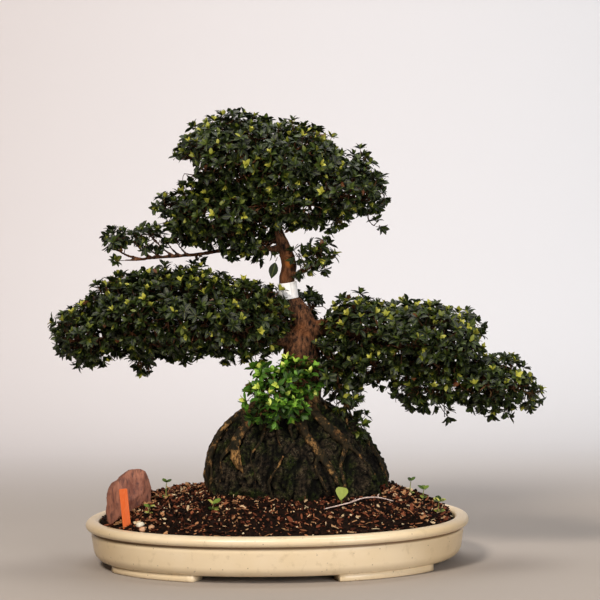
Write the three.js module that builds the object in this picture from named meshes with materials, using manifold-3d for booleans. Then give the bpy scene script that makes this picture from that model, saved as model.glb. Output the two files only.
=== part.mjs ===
// A satsuki azalea trained as a bonsai over a rock, planted in a shallow oval pot.
// Millimetres, +Z up, -Y is the front. The shapes are laid out round the middle of the pot's foot, and the
// finished group is moved so that its origin lies on the table under the middle of the whole tree and pot.

import * as THREE from "three";
import { mergeVertices } from "three/addons/utils/BufferGeometryUtils.js";
import Module from "manifold-3d";

const wasm = await Module();
wasm.setup();

// Driving dimensions of the pot
const POT_LENGTH = 600;
const POT_WIDTH = 450;
const POT_HEIGHT = 72;
const OVAL_POWER = 2.15; // 2 is an ellipse, more is squarer
const OVAL_SIDES = 36;
const FOOT_HEIGHT = 8;
const FLOOR_TOP = 17;
const FOOT_FROM = 110; // the feet run from here to there along the long side
const FOOT_TO = 246;
const DRAIN_HOLE_RADIUS = 13;
const DRAIN_HOLE_X = 120;

// Driving dimensions of the planting
const CLEARANCE = 0.5; // air between pieces that touch
const ROOT_CLEARANCE = 0.8; // air between the roots and the grooves that they lie in
const SOIL_EDGE = 65; // height of the soil at the rim
const SOIL_RISE = 54; // the mound stands this much higher in the middle
const ROCK_CENTRE = [36, -6, 150];
const ROCK_REACH = [144, 106, 106];
const ROCK_LEAN = 12; // its top stands this far to the left of its foot
const ROCK_FLAT = 78; // height of the rock's flat underside, bedded in the soil
const LEAF_LENGTH = 29; // larger than life, so that fewer leaves cover the pads
const LEAF_PITCH = 36; // from one leaf to the next

const POT_REACH_X = POT_LENGTH / 2;
const FLAKES = 8;
const SIMPLER = 0.3; // triangles that change a face by less than this are merged away
const POT_SLIMMER = (POT_LENGTH - POT_WIDTH) / 2; // every oval ring is this much shorter across than along
const SOIL_REACH_X = POT_REACH_X - 23 - CLEARANCE;

const material = (color, roughness) =>
  new THREE.MeshStandardMaterial({ color, roughness, metalness: 0, flatShading: true });
const glazedCream = material(0xd9c9a0, 0.35);
const darkSoil = material(0x3a261c, 0.95);
const mossyRock = material(0x26241c, 0.9);
const azaleaBark = material(0x6b4630, 0.85);
const darkLeaf = material(0x2f4a1a, 0.5);
const youngLeaf = material(0x4f8a22, 0.5);
const weedLeaf = material(0x7fa13a, 0.6);
const redStone = material(0x6e4038, 0.8);
const orangePlastic = material(0xff6a1e, 0.4);
const whiteTape = material(0xf2f2f0, 0.4);
const bleachedTwig = material(0xcfc4b4, 0.8);
const paleStone = material(0xcdbfa0, 0.8);
const blackMesh = material(0x1c1c1c, 0.6);

// Solids: a closed three.js geometry becomes a manifold, and a joined or cut manifold becomes a mesh again
function solid(geometry) {
  const bare = geometry.clone();
  bare.deleteAttribute("normal");
  bare.deleteAttribute("uv");
  const merged = mergeVertices(bare, 1e-3);
  return faceted(merged.attributes.position.array, merged.index.array);
}

const join = (solids) => solids.reduce((whole, next) => whole.add(next));

// The largest connected body of a solid: slivers that a cut has severed fall away
function largestBody(manifold) {
  return manifold.decompose().reduce((best, next) => (next.volume() > best.volume() ? next : best));
}

function piece(name, manifold, finish) {
  const { vertProperties, triVerts } = largestBody(manifold.simplify(SIMPLER)).getMesh();
  const geometry = new THREE.BufferGeometry();
  geometry.setAttribute("position", new THREE.BufferAttribute(new Float32Array(vertProperties), 3));
  geometry.setIndex(new THREE.BufferAttribute(new Uint32Array(triVerts), 1));
  geometry.computeVertexNormals();
  const mesh = new THREE.Mesh(geometry, finish);
  mesh.name = name;
  return mesh;
}

// A small seeded generator, so that every draw is the same on each run
function seeded(seed) {
  let state = seed >>> 0;
  return () => {
    state = (state + 0x6d2b79f5) >>> 0;
    let t = Math.imul(state ^ (state >>> 15), 1 | state);
    t = (t + Math.imul(t ^ (t >>> 7), 61 | t)) ^ t;
    return ((t ^ (t >>> 14)) >>> 0) / 4294967296;
  };
}

// The point of an oval ring of half length `reach` at a given turn
function onOval(reach, turn) {
  const narrow = Math.max(reach - POT_SLIMMER, reach * 0.4);
  const bulge = (v) => Math.sign(v) * Math.abs(v) ** (2 / OVAL_POWER);
  return [reach * bulge(Math.cos(turn)), narrow * bulge(Math.sin(turn))];
}

// A solid from flat lists of coordinates and of the corners of its triangles
function faceted(position, index) {
  const [vertProperties, triVerts] = [new Float32Array(position), new Uint32Array(index)];
  return new wasm.Manifold(new wasm.Mesh({ numProp: 3, vertProperties, triVerts }));
}

// Turns a profile of [reach, height] points round the oval
function ovalLathe(profile) {
  const points = profile.map(([reach, height]) => new THREE.Vector2(reach, height));
  const geometry = new THREE.LatheGeometry(points, OVAL_SIDES).rotateX(Math.PI / 2);
  const position = geometry.attributes.position;
  for (let i = 0; i < position.count; i++) {
    const reach = Math.hypot(position.getX(i), position.getY(i));
    if (reach < 1e-6) continue;
    const [x, y] = onOval(reach, Math.atan2(position.getY(i), position.getX(i)));
    position.setXY(i, x, y);
  }
  return geometry;
}

// Pot: one glazed casting with a rolled lip, four low feet and two drain holes
const WALL_FACE = POT_REACH_X - 9;
const LIP_INSIDE = POT_REACH_X - 22;
const insideWall = [
  [LIP_INSIDE, POT_HEIGHT - 3],
  [LIP_INSIDE + 1, POT_HEIGHT - 12],
  [LIP_INSIDE - 2, FLOOR_TOP + 10],
  [LIP_INSIDE - 18, FLOOR_TOP],
];

function potBody() {
  const outside = [
    [0, FOOT_HEIGHT],
    [WALL_FACE - 28, FOOT_HEIGHT],
    [WALL_FACE - 11, FOOT_HEIGHT + 4],
    [WALL_FACE - 3, FOOT_HEIGHT + 14],
    [WALL_FACE, POT_HEIGHT - 20],
    [WALL_FACE - 2, POT_HEIGHT - 17],
    [POT_REACH_X - 2, POT_HEIGHT - 14],
    [POT_REACH_X, POT_HEIGHT - 8],
    [POT_REACH_X - 4, POT_HEIGHT - 2],
    [POT_REACH_X - 13, POT_HEIGHT],
  ];
  return solid(ovalLathe([...outside, ...insideWall, [0, FLOOR_TOP]]));
}

function foot(sideX, sideY) {
  const outer = WALL_FACE - 14;
  const inner = outer - 28;
  const turnAt = (x) => Math.acos((x / outer) ** (OVAL_POWER / 2));
  const steps = 8;
  const arc = (reach) =>
    Array.from({ length: steps + 1 }, (_, i) => {
      const turn = THREE.MathUtils.lerp(turnAt(FOOT_FROM), turnAt(FOOT_TO), i / steps);
      const [x, y] = onOval(reach, turn);
      return new THREE.Vector2(sideX * x, sideY * y);
    });
  const outline = new THREE.Shape([...arc(outer), ...arc(inner).reverse()]);
  return solid(new THREE.ExtrudeGeometry(outline, { depth: FOOT_HEIGHT + 4, bevelEnabled: false }));
}

function drainHole(x, extra = 0) {
  const hole = new THREE.CylinderGeometry(DRAIN_HOLE_RADIUS + extra, DRAIN_HOLE_RADIUS + extra, 40, 16);
  return solid(hole.rotateX(Math.PI / 2).translate(x, 0, FOOT_HEIGHT));
}

function makePot() {
  const feet = [-1, 1].flatMap((sideX) => [-1, 1].map((sideY) => foot(sideX, sideY)));
  const holes = join([drainHole(-DRAIN_HOLE_X), drainHole(DRAIN_HOLE_X)]);
  return join([potBody(), ...feet]).subtract(holes);
}

// Drain screen: a square of plastic mesh that lies on the pot's floor over a drain hole
const SCREEN_SIZE = 40;
const SCREEN_THICKNESS = 1.2;
const SCREEN_HOLES = 3;

function makeScreen(x) {
  const plate = solid(new THREE.BoxGeometry(SCREEN_SIZE, SCREEN_SIZE, SCREEN_THICKNESS));
  const pitch = SCREEN_SIZE / SCREEN_HOLES;
  const windows = [];
  for (let i = 0; i < SCREEN_HOLES; i++)
    for (let j = 0; j < SCREEN_HOLES; j++) {
      const [cx, cy] = [i, j].map((n) => pitch * (n + 0.5) - SCREEN_SIZE / 2);
      windows.push(solid(new THREE.BoxGeometry(pitch * 0.7, pitch * 0.7, 4).translate(cx, cy, 0)));
    }
  return plate.subtract(join(windows)).translate([x, 0, FLOOR_TOP + CLEARANCE / 2 + SCREEN_THICKNESS / 2]);
}

function screenRoom(x) {
  const side = SCREEN_SIZE + 2 * CLEARANCE;
  const tall = 2 * (SCREEN_THICKNESS + CLEARANCE * 1.5);
  return solid(new THREE.BoxGeometry(side, side, tall).translate(x, 0, FLOOR_TOP));
}

// Rock: a squat boulder, narrower at the top, with upright flutes worn into its sides
function rockPoint(direction) {
  const { x, y, z } = direction;
  const round = 2.5;
  const swell = 1 / (Math.abs(x) ** round + Math.abs(y) ** round + Math.abs(z) ** round) ** (1 / round);
  const turn = Math.atan2(y, x);
  const flutes =
    0.035 * Math.sin(7 * turn) - 0.025 * Math.sin(13 * turn + 2.6 * z) + 0.02 * Math.sin(5 * z + 3 * turn);
  const narrowing = 1 - 0.26 * THREE.MathUtils.smoothstep(z * swell, -0.35, 1);
  const spread = swell * (1 + flutes) * narrowing;
  const lean = ROCK_LEAN * THREE.MathUtils.smoothstep(z * swell, -0.5, 0.3);
  return new THREE.Vector3(
    ROCK_CENTRE[0] + ROCK_REACH[0] * x * spread - lean,
    ROCK_CENTRE[1] + ROCK_REACH[1] * y * spread,
    ROCK_CENTRE[2] + ROCK_REACH[2] * z * swell * (1 + flutes * 0.5),
  );
}

function makeRock(growth = 1) {
  const ball = new THREE.IcosahedronGeometry(1, 4);
  const position = ball.attributes.position;
  const middle = new THREE.Vector3(...ROCK_CENTRE);
  for (let i = 0; i < position.count; i++) {
    const direction = new THREE.Vector3().fromBufferAttribute(position, i).normalize();
    const point = rockPoint(direction).sub(middle).multiplyScalar(growth).add(middle);
    position.setXYZ(i, point.x, point.y, point.z);
  }
  const below = new THREE.BoxGeometry(500, 500, 100).translate(0, 0, ROCK_FLAT - (growth - 1) * 125 - 50);
  return solid(ball).subtract(solid(below));
}

// The rock's surface at a compass angle (0 is the front, 90 the right) and a height
function onRock(angle, height, lift = 0) {
  const a = THREE.MathUtils.degToRad(angle);
  let low = -1.2;
  let high = 1.5;
  for (let i = 0; i < 30; i++) {
    const rise = (low + high) / 2;
    const tilt = Math.max(-1.5, Math.min(1.5, rise));
    const level = rockPoint(direction(a, tilt)).z;
    if (level < height) low = rise;
    else high = rise;
  }
  const way = direction(a, (low + high) / 2);
  return rockPoint(way).addScaledVector(way, lift);
}

function direction(angle, tilt) {
  const level = Math.cos(tilt);
  return new THREE.Vector3(Math.sin(angle) * level, -Math.cos(angle) * level, Math.sin(tilt));
}

// Limb: a tapering rod bent along a smooth curve through points. It makes trunk, branches, roots and stems.
function limb(points, radii, { sides = 6, steps = 8, extra = 0 } = {}) {
  const curve = new THREE.CatmullRomCurve3(points.map((p) => (p.isVector3 ? p : new THREE.Vector3(...p))));
  const frames = curve.computeFrenetFrames(steps, false);
  const rod = new THREE.CylinderGeometry(1, 1, 1, sides, steps);
  const position = rod.attributes.position;
  for (let i = 0; i < position.count; i++) {
    const share = 0.5 - position.getY(i);
    const step = Math.round(share * steps);
    const along = share * (radii.length - 1);
    const before = Math.min(Math.floor(along), radii.length - 2);
    const radius = THREE.MathUtils.lerp(radii[before], radii[before + 1], along - before);
    const angle = Math.atan2(position.getZ(i), position.getX(i));
    const out = (radius + extra) * Math.hypot(position.getX(i), position.getZ(i));
    const beyond = step === 0 ? -extra : step === steps ? extra : 0;
    const point = curve
      .getPoint(share)
      .addScaledVector(frames.tangents[step], beyond)
      .addScaledVector(frames.normals[step], out * Math.cos(angle))
      .addScaledVector(frames.binormals[step], out * Math.sin(angle));
    position.setXYZ(i, point.x, point.y, point.z);
  }
  return solid(rod);
}

// Trunk, branches and roots, each with its points and radii
const TRUNK = {
  points: [
    [38, -6, 232],
    [40, -6, 290],
    [46, -4, 340],
    [50, 0, 365],
    [42, 0, 389],
    [27, 0, 410],
    [23, -1, 437],
    [27, -2, 463],
    [21, -2, 487],
    [11, -1, 512],
    [0, 0, 548],
    [-12, 0, 594],
    [-20, 0, 640],
  ],
  radii: [36, 33, 27, 20, 15.5, 13, 12, 12, 10.5, 9, 8, 6, 3],
  sides: 9,
  steps: 15,
};

const BRANCHES = {
  right: {
    points: [[46, 0, 357], [94, -3, 365], [150, -6, 350], [230, -6, 325], [310, 0, 288], [385, 0, 262]],
    radii: [16, 13.5, 10, 7, 5, 2.5],
    sides: 8,
  },
  rightFront: { points: [[150, -6, 350], [195, -35, 345], [240, -60, 330]], radii: [6, 4.5, 2.5] },
  rightBack: { points: [[140, -4, 352], [190, 30, 348], [235, 55, 330]], radii: [6, 4.5, 2.5] },
  left: {
    points: [
      [44, -4, 340], [0, -14, 352], [-70, -18, 356], [-150, -16, 352], [-230, -12, 345], [-305, -8, 338],
    ],
    radii: [14, 12, 9.5, 7, 5, 2.5],
    sides: 8,
  },
  leftFront: { points: [[-70, -18, 356], [-110, -50, 352], [-165, -75, 342]], radii: [5.5, 4, 2.5] },
  leftBack: { points: [[-60, -16, 356], [-110, 20, 354], [-160, 50, 345]], radii: [5.5, 4, 2.5] },
  back: { points: [[44, 2, 372], [38, 45, 366], [16, 100, 358], [0, 135, 352]], radii: [10, 7, 5, 2.5] },
  backTuft: { points: [[46, 6, 384], [53, 34, 388], [60, 58, 394]], radii: [5, 3.5, 2] },
  cascade: {
    points: [[38, -20, 302], [32, -50, 294], [20, -74, 274], [10, -88, 254]],
    radii: [8, 5.5, 4, 2],
  },
  tuft: { points: [[25, -6, 448], [48, -22, 452], [70, -30, 466]], radii: [4.5, 3, 2] },
  low: {
    points: [
      [21, -2, 486], [-17, -6, 487], [-46, -8, 480], [-80, -8, 483], [-116, -4, 480], [-184, 0, 478],
      [-211, 0, 475], [-242, 0, 474],
    ],
    radii: [6.5, 5.5, 5, 4.5, 4, 3.2, 2.4, 1.6],
  },
  lowSpur: { points: [[-205, 0, 476], [-228, 6, 482], [-246, 8, 492]], radii: [2.4, 2, 1.4] },
  tier: {
    points: [[6, 0, 530], [-50, -10, 548], [-105, -8, 556], [-150, -4, 560]],
    radii: [6, 4.5, 3.5, 2],
  },
  crownRight: {
    points: [[0, 0, 545], [55, 8, 560], [110, 8, 568], [150, 5, 560]],
    radii: [6.5, 5, 3.6, 2],
  },
  crownLeft: { points: [[-10, 0, 590], [-55, -8, 622], [-95, -10, 636]], radii: [5.5, 4, 2] },
  crownFront: { points: [[-6, 0, 570], [-10, -35, 600], [-15, -60, 620]], radii: [5, 3.5, 2] },
  crownBack: { points: [[-6, 0, 570], [0, 35, 595], [5, 60, 610]], radii: [5, 3.5, 2] },
  skirt: { points: [[58, 0, 302], [84, -8, 290], [108, -8, 264]], radii: [8, 5, 3] },
};

// Twigs that rise from the open low branch into its small pads: foot and head of each
const TWIGS = [
  [[-128, -2, 480], [-150, -8, 506]],
  [[-140, 0, 479], [-166, 6, 504]],
  [[-152, 0, 479], [-180, -6, 503]],
  [[-172, 0, 478], [-198, 5, 502]],
  [[-188, 0, 478], [-214, -5, 502]],
];

// The short stalk of the single leaf that hangs beside the trunk
const LEAF_STALK = [[20, -4, 478], [11, -9, 477], [6.5, -10.4, 468]];

// Roots grip the rock: compass angle and height of each point, then the radii
const ROOTS = [
  {
    path: [[-70, 250], [-88, 226], [-92, 190], [-94, 150], [-96, 112], [-96, 92]],
    radii: [13, 8, 6.5, 5.5, 5, 4],
  },
  {
    path: [[-52, 250], [-66, 222], [-64, 196], [-58, 168], [-60, 134], [-58, 104], [-58, 90]],
    radii: [11, 6, 7, 8, 6, 4, 3],
  },
  { path: [[-30, 250], [-36, 222], [-38, 196], [-33, 172], [-28, 150]], radii: [9, 8, 10, 8, 2] },
  { path: [[-1, 178], [-6, 158], [-13, 138], [-13, 118], [-12, 98]], radii: [2, 3.2, 3, 3, 2.5] },
  { path: [[14, 254], [14, 226], [17, 206], [24, 180], [28, 152], [29, 132]], radii: [14, 9, 8, 8, 5, 2] },
  {
    path: [[40, 254], [36, 228], [42, 204], [44, 188], [36, 160], [33, 134], [32, 112], [32, 94]],
    radii: [12, 7, 8, 9, 5, 4.5, 4, 3],
  },
  { path: [[66, 246], [84, 214], [90, 180], [92, 140], [92, 106], [92, 92]], radii: [11, 6, 5, 5, 4.5, 4] },
  {
    path: [[118, 250], [124, 222], [120, 184], [128, 142], [126, 106], [126, 92]],
    radii: [12, 8, 7, 6, 5, 4],
  },
  {
    path: [[170, 252], [176, 222], [168, 186], [178, 144], [174, 104], [174, 92]],
    radii: [13, 9, 8, 7, 5, 4],
  },
  {
    path: [[-116, 250], [-122, 222], [-118, 186], [-126, 142], [-122, 104], [-122, 92]],
    radii: [12, 8, 7, 6, 5, 4],
  },
];

function woodSolids(extra = 0) {
  const trunk = limb(TRUNK.points, TRUNK.radii, { sides: TRUNK.sides, steps: TRUNK.steps, extra });
  const branches = Object.values(BRANCHES).map(({ points, radii, sides = 5, steps = points.length + 1 }) =>
    limb(points, radii, { sides, steps, extra }),
  );
  const twigs = TWIGS.map(([from, to]) => limb([from, to], [2, 1.4], { sides: 4, steps: 1, extra }));
  const stalk = limb(LEAF_STALK, [1.6, 1.3, 1.1], { sides: 5, steps: 3, extra });
  return [trunk, ...branches, ...twigs, stalk];
}

function rootSolids(extra = 0) {
  return ROOTS.map(({ path, radii }) => {
    const points = path.map(([angle, height]) => onRock(angle, height));
    return limb(points, radii, { sides: 5, steps: path.length - 1, extra });
  });
}

const allWood = (extra = 0) => wasm.Manifold.union([...woodSolids(extra), ...rootSolids(extra)]);

// Soil surface: a mound, highest round the rock, in low waves
const soilHeight = (share) => SOIL_EDGE + SOIL_RISE * (1 - share ** 4.3);
const soilWave = (x, y) => 2.2 * Math.sin(x / 17 + 1) * Math.cos(y / 14) + 1.5 * Math.sin(x / 7 + y / 9);

// The height of the soil at a place, found from the oval ring that passes through it
function soilAt(x, y) {
  let low = SOIL_REACH_X * 0.3;
  let high = SOIL_REACH_X;
  for (let i = 0; i < 20; i++) {
    const reach = (low + high) / 2;
    const narrow = Math.max(reach - POT_SLIMMER, reach * 0.4);
    if ((Math.abs(x) / reach) ** OVAL_POWER + (Math.abs(y) / narrow) ** OVAL_POWER > 1) low = reach;
    else high = reach;
  }
  return soilHeight(high / SOIL_REACH_X) + soilWave(x, y);
}

// Label: a flat plastic stake with a pointed foot, pushed into the soil in front of the red stone
const LABEL = { width: 12.5, thickness: 1.2, length: 92, top: [-223, -117, 131], lean: 0.08, turn: 0.12 };

function makeLabel(extra = 0) {
  const half = LABEL.width / 2 + extra;
  const outline = new THREE.Shape([
    new THREE.Vector2(-half + 1.5, 0),
    new THREE.Vector2(-half, -1.5),
    new THREE.Vector2(-half, -LABEL.length + 16),
    new THREE.Vector2(0, -LABEL.length - extra),
    new THREE.Vector2(half, -LABEL.length + 16),
    new THREE.Vector2(half, -1.5),
    new THREE.Vector2(half - 1.5, 0),
  ]);
  const depth = LABEL.thickness + 2 * extra;
  const plate = new THREE.ExtrudeGeometry(outline, { depth, bevelEnabled: false });
  plate.translate(0, 0, -depth / 2).rotateX(Math.PI / 2);
  plate.rotateY(-LABEL.lean).rotateZ(LABEL.turn).translate(...LABEL.top);
  return solid(plate);
}

// Stones: broken lumps with flat facets; the lean is how far the top is pushed towards +X
function stone({ centre, reach, seed, lean = 0 }, extra = 0) {
  const random = seeded(seed);
  const ball = mergeVertices(bareIcosahedron(1), 1e-4);
  const position = ball.attributes.position;
  for (let i = 0; i < position.count; i++) {
    const swell = 0.86 + 0.2 * random();
    position.setXYZ(
      i,
      centre[0] + position.getX(i) * (reach[0] * swell + extra) + lean * Math.max(position.getZ(i), 0),
      centre[1] + position.getY(i) * (reach[1] * swell + extra),
      centre[2] + position.getZ(i) * (reach[2] * swell + extra),
    );
  }
  return solid(ball);
}

function bareIcosahedron(detail) {
  const ball = new THREE.IcosahedronGeometry(1, detail);
  ball.deleteAttribute("normal");
  ball.deleteAttribute("uv");
  return ball;
}

const RED_STONE = { centre: [-224, -62, 108], reach: [35, 30, 45], lean: 15, seed: 5 };
const PEBBLES = {
  pebble_white: { centre: [-196, -128, soilAt(-196, -128) + 0.5], reach: [7, 6, 5], seed: 3 },
  pebble_tan_left: { centre: [-190, -142, soilAt(-190, -142) + 0.5], reach: [6, 5, 4.5], seed: 8 },
  pebble_tan_right: { centre: [-176, -146, soilAt(-176, -146) + 0.5], reach: [5, 5, 4], seed: 9 },
};

// A dead twig, bleached pale, that lies on the soil
const BARE_TWIG = {
  path: [[84, -138], [104, -129], [122, -116], [142, -103], [164, -89], [186, -77]],
  radii: [1.2, 1.6, 1.5, 1.7, 1.4, 1.1],
};

function bareTwig(extra = 0) {
  const points = BARE_TWIG.path.map(([x, y]) => [x, y, soilAt(x, y) + 0.8]);
  return limb(points, BARE_TWIG.radii, { sides: 5, steps: 7, extra });
}

// Weed seedlings: a thin stem with a few leaves, each rooted in the soil
const WEEDS = {
  weed_left_tall: { at: [-165, -60], height: 26, leaf: 15, leaves: 3 },
  weed_left_low: { at: [-186, -106], height: 12, leaf: 11, leaves: 4 },
  weed_front_left: { at: [-84, -132], height: 12, leaf: 13, leaves: 3 },
  weed_front_heart: { at: [109, -114], height: 16, leaf: 17, leaves: 2 },
  weed_right_upper: { at: [210, -6], height: 22, leaf: 14, leaves: 3 },
  weed_right_middle: { at: [230, -12], height: 16, leaf: 12, leaves: 3 },
  weed_right_lower: { at: [254, -42], height: 18, leaf: 13, leaves: 4 },
};

function weedStem({ at: [x, y], height }, extra = 0) {
  const ground = soilAt(x, y);
  const ends = [[x, y, ground - 8], [x + 1, y - 1, ground + height]];
  return limb(ends, [1.3, 0.9], { sides: 4, steps: 1, extra });
}

function makeWeed(weed, seed) {
  const random = seeded(seed);
  const leaves = rosette(weed.leaf, weed.leaves, 0.42, 1.4)
    .rotate([0, 0, random() * 360])
    .translate([weed.at[0] + 1, weed.at[1] - 1, soilAt(...weed.at) + weed.height - 0.8]);
  return weedStem(weed).add(leaves);
}

// Soil: a mound of bark compost, highest round the rock, with bark flakes on it
function makeSoil() {
  const top = [1, 0.95, 0.87, 0.75, 0.6].map((share) => [SOIL_REACH_X * share, soilHeight(share)]);
  const wall = insideWall
    .filter(([, height]) => height < SOIL_EDGE - 4)
    .map(([reach, height]) => [reach - CLEARANCE, height + (height === FLOOR_TOP ? CLEARANCE : 0)])
    .reverse();
  const body = ovalLathe([[0, FLOOR_TOP + CLEARANCE], ...wall, ...top, [0, soilHeight(0)]]);
  const position = body.attributes.position;
  for (let i = 0; i < position.count; i++) {
    const [x, y, z] = [position.getX(i), position.getY(i), position.getZ(i)];
    if (z < SOIL_EDGE + 1) continue;
    position.setZ(i, z + soilWave(x, y));
  }
  return join([solid(body), ...barkFlakes()]);
}

function barkFlakes() {
  const random = seeded(71);
  const flakes = [];
  while (flakes.length < FLAKES) {
    const turn = random() * Math.PI * 2;
    const share = 0.62 + 0.3 * random();
    const [x, y] = onOval(SOIL_REACH_X * share, turn);
    const flake = new THREE.BoxGeometry(9 + 9 * random(), 6 + 5 * random(), 5)
      .rotateX((random() - 0.5) * 0.7)
      .rotateY((random() - 0.5) * 0.7)
      .rotateZ(random() * Math.PI)
      .translate(x, y, soilAt(x, y) - 0.5);
    flakes.push(solid(flake));
  }
  return flakes;
}

// Rosette: a whorl of pointed leaves as one closed star, its middle thick and its tips raised
function rosette(length, leaves, lift, thick) {
  const rim = [];
  for (let k = 0; k < leaves; k++) {
    const turn = (k / leaves) * Math.PI * 2;
    const spread = 0.27;
    rim.push([turn - Math.PI / leaves, 0.2, 0]);
    rim.push([turn - spread, 0.6, lift * 0.62]);
    rim.push([turn, 1, lift]);
    rim.push([turn + spread, 0.6, lift * 0.62]);
  }
  const corners = rim.map(([turn, out, up]) =>
    [Math.cos(turn) * out, Math.sin(turn) * out, up].map((share) => share * length),
  );
  const position = [...corners.flat(), 0, 0, length * 0.04, 0, 0, -thick];
  const top = corners.length;
  const index = corners.flatMap((_, i) => {
    const next = (i + 1) % corners.length;
    return [i, next, top, next, i, top + 1];
  });
  return faceted(position, index);
}

// Pads: each spray of foliage is a set of rounded lobes, given as centre, then reach along X, Y and Z to the
// leaf tips. Inside the tips lies a dense core of leaves, and pointed leaves stand out of it all round.
const PADS = {
  foliage_crown: [
    [-55, 0, 628, 95, 104, 76],
    [30, 4, 612, 88, 110, 74],
    [110, 0, 578, 76, 90, 47],
    [33, -2, 556, 85, 100, 37],
    [-76, -2, 544, 90, 98, 52],
    [-145, 0, 559, 46, 52, 22],
    [-36, -2, 495, 46, 56, 24],
    [140, 4, 621, 32, 44, 26],
    [103, -6, 529, 23, 30, 19],
  ],
  foliage_low_left: [
    [-236, 0, 506, 27, 34, 21],
    [-188, 0, 511, 35, 42, 19],
    [-138, 0, 518, 34, 46, 23],
  ],
  foliage_left: [
    [-150, -8, 391, 132, 122, 74],
    [-284, -8, 362, 60, 84, 50],
    [-224, -6, 396, 74, 94, 62],
    [-48, -16, 380, 82, 96, 64],
    [-204, -24, 314, 22, 36, 25],
  ],
  foliage_right: [
    [142, -4, 366, 66, 86, 48],
    [214, -4, 344, 86, 96, 63],
    [266, -4, 326, 62, 84, 68],
    [334, -3, 274, 73, 76, 43],
    [238, -5, 276, 60, 73, 41],
    [386, 0, 263, 34, 50, 28],
    [150, -4, 312, 56, 74, 38],
    [301, 0, 368, 26, 50, 23],
    [342, 3, 303, 46, 56, 26],
  ],
  foliage_mid_tuft: [[75, -32, 476, 31, 36, 29]],
  foliage_back: [[-22, 122, 366, 62, 52, 46]],
  foliage_back_tuft: [[55, 62, 399, 27, 30, 26]],
  foliage_trunk_side: [
    [96, -16, 298, 34, 52, 36],
    [110, -8, 256, 30, 44, 34],
    [83, -16, 331, 22, 40, 28],
  ],
  foliage_cascade: [
    [13, -84, 250, 52, 32, 31],
    [34, -64, 292, 46, 40, 34],
    [4, -68, 276, 34, 32, 28],
    [-24, -76, 263, 21, 30, 25],
    [-9, -66, 298, 18, 30, 21],
  ],
  foliage_rock_tuft: [[138, -32, 208, 20, 19, 21]],
};
const LONG_LEAVES = 0.5; // this share of the leaves stands far out, the rest lies lower

function lobeCore([x, y, z, a, b, c], inset, detail) {
  const ball = new THREE.IcosahedronGeometry(1, detail);
  const position = ball.attributes.position;
  for (let i = 0; i < position.count; i++) {
    const way = new THREE.Vector3().fromBufferAttribute(position, i).normalize();
    const waves = Math.sin(5 * way.x + 3 * way.y + x) + Math.sin(6 * way.z - 4 * way.y);
    const ripple = inset > 0 ? 1 + 0.05 * waves : 1;
    const reach = [a, b, c].map((size) => (size - inset) * ripple);
    position.setXYZ(i, x + way.x * reach[0], y + way.y * reach[1], z + way.z * reach[2]);
  }
  return solid(ball);
}

const inLobe = (point, [x, y, z, a, b, c], inset) => {
  const shares = [(point.x - x) / (a - inset), (point.y - y) / (b - inset), (point.z - z) / (c - inset)];
  return Math.hypot(...shares) < 1;
};

const leafLength = ([, , , a, b, c]) => Math.min(LEAF_LENGTH, 0.42 * Math.min(a, b, c));
const leafInset = (lobe) => leafLength(lobe) * 0.85;

// Draws each facet of the core out to a pointed leaf that leans outward and up. A facet stays as it is where
// its leaf would run into the next lobe.
function leafCoat(core, lobes, random) {
  const { vertProperties, triVerts } = core.getMesh();
  const position = [...vertProperties];
  const index = [];
  const corner = (i) => new THREE.Vector3(position[3 * i], position[3 * i + 1], position[3 * i + 2]);
  for (let t = 0; t < triVerts.length; t += 3) {
    const [i, j, k] = [triVerts[t], triVerts[t + 1], triVerts[t + 2]];
    const [p, q, r] = [corner(i), corner(j), corner(k)];
    const middle = p.clone().add(q).add(r).divideScalar(3);
    const normal = q.clone().sub(p).cross(r.clone().sub(p));
    const area = normal.length() / 2;
    normal.normalize();
    const lobe = lobes.find((one) => inLobe(middle, one, leafInset(one) * 0.8)) ?? lobes[0];
    const full = leafLength(lobe);
    const length = random() < LONG_LEAVES ? full * (0.8 + 0.3 * random()) : full * (0.3 + 0.25 * random());
    const lean = normal.clone().addScaledVector(new THREE.Vector3(0, 0, 1), 0.3).normalize();
    const tip = middle.clone().addScaledVector(lean, length);
    const clear = lobes.every((other) => other === lobe || !inLobe(tip, other, leafInset(other) * 0.35));
    const longest = Math.max(p.distanceTo(q), q.distanceTo(r), r.distanceTo(p));
    if (clear && area > 0.16 * longest * longest && area > 40) {
      const apex = position.length / 3;
      position.push(tip.x, tip.y, tip.z);
      index.push(i, j, apex, j, k, apex, k, i, apex);
    } else {
      index.push(i, j, k);
    }
  }
  return faceted(position, index);
}

function makePad(lobes, cutters, seed) {
  const across = ([, , , a, b, c]) => Math.cbrt(a * b * c) / LEAF_PITCH;
  const detailOf = (lobe) => Math.max(1, Math.round(1.05 * across(lobe)) - 1);
  const cores = lobes.map((lobe) => lobeCore(lobe, leafInset(lobe), detailOf(lobe)));
  const core = wasm.Manifold.union(cores).simplify(LEAF_PITCH * 0.06);
  return largestBody(leafCoat(core, lobes, seeded(seed)).subtract(wasm.Manifold.union(cutters)));
}

// A single leaf that hangs beside the trunk on a short stalk
function hangingLeaf() {
  const outline = [[0, 0], [5, -5], [7.2, -12], [5.2, -20], [0, -27], [-5.2, -20], [-7.2, -12], [-5, -5]];
  const shape = new THREE.Shape(outline.map(([x, y]) => new THREE.Vector2(x, y)));
  const blade = new THREE.ExtrudeGeometry(shape, { depth: 0.8, bevelEnabled: false });
  return solid(blade.rotateX(Math.PI / 2).rotateY(0.35).translate(6.5, -9.6, 467));
}

// Band: white tape wrapped once round the trunk
const BAND = { from: [26.2, 0, 411], to: [23.2, -1, 436], radius: 15.2 };

const band = (extra = 0) =>
  limb([BAND.from, BAND.to], [BAND.radius, BAND.radius], { sides: 16, steps: 1, extra });

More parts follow.
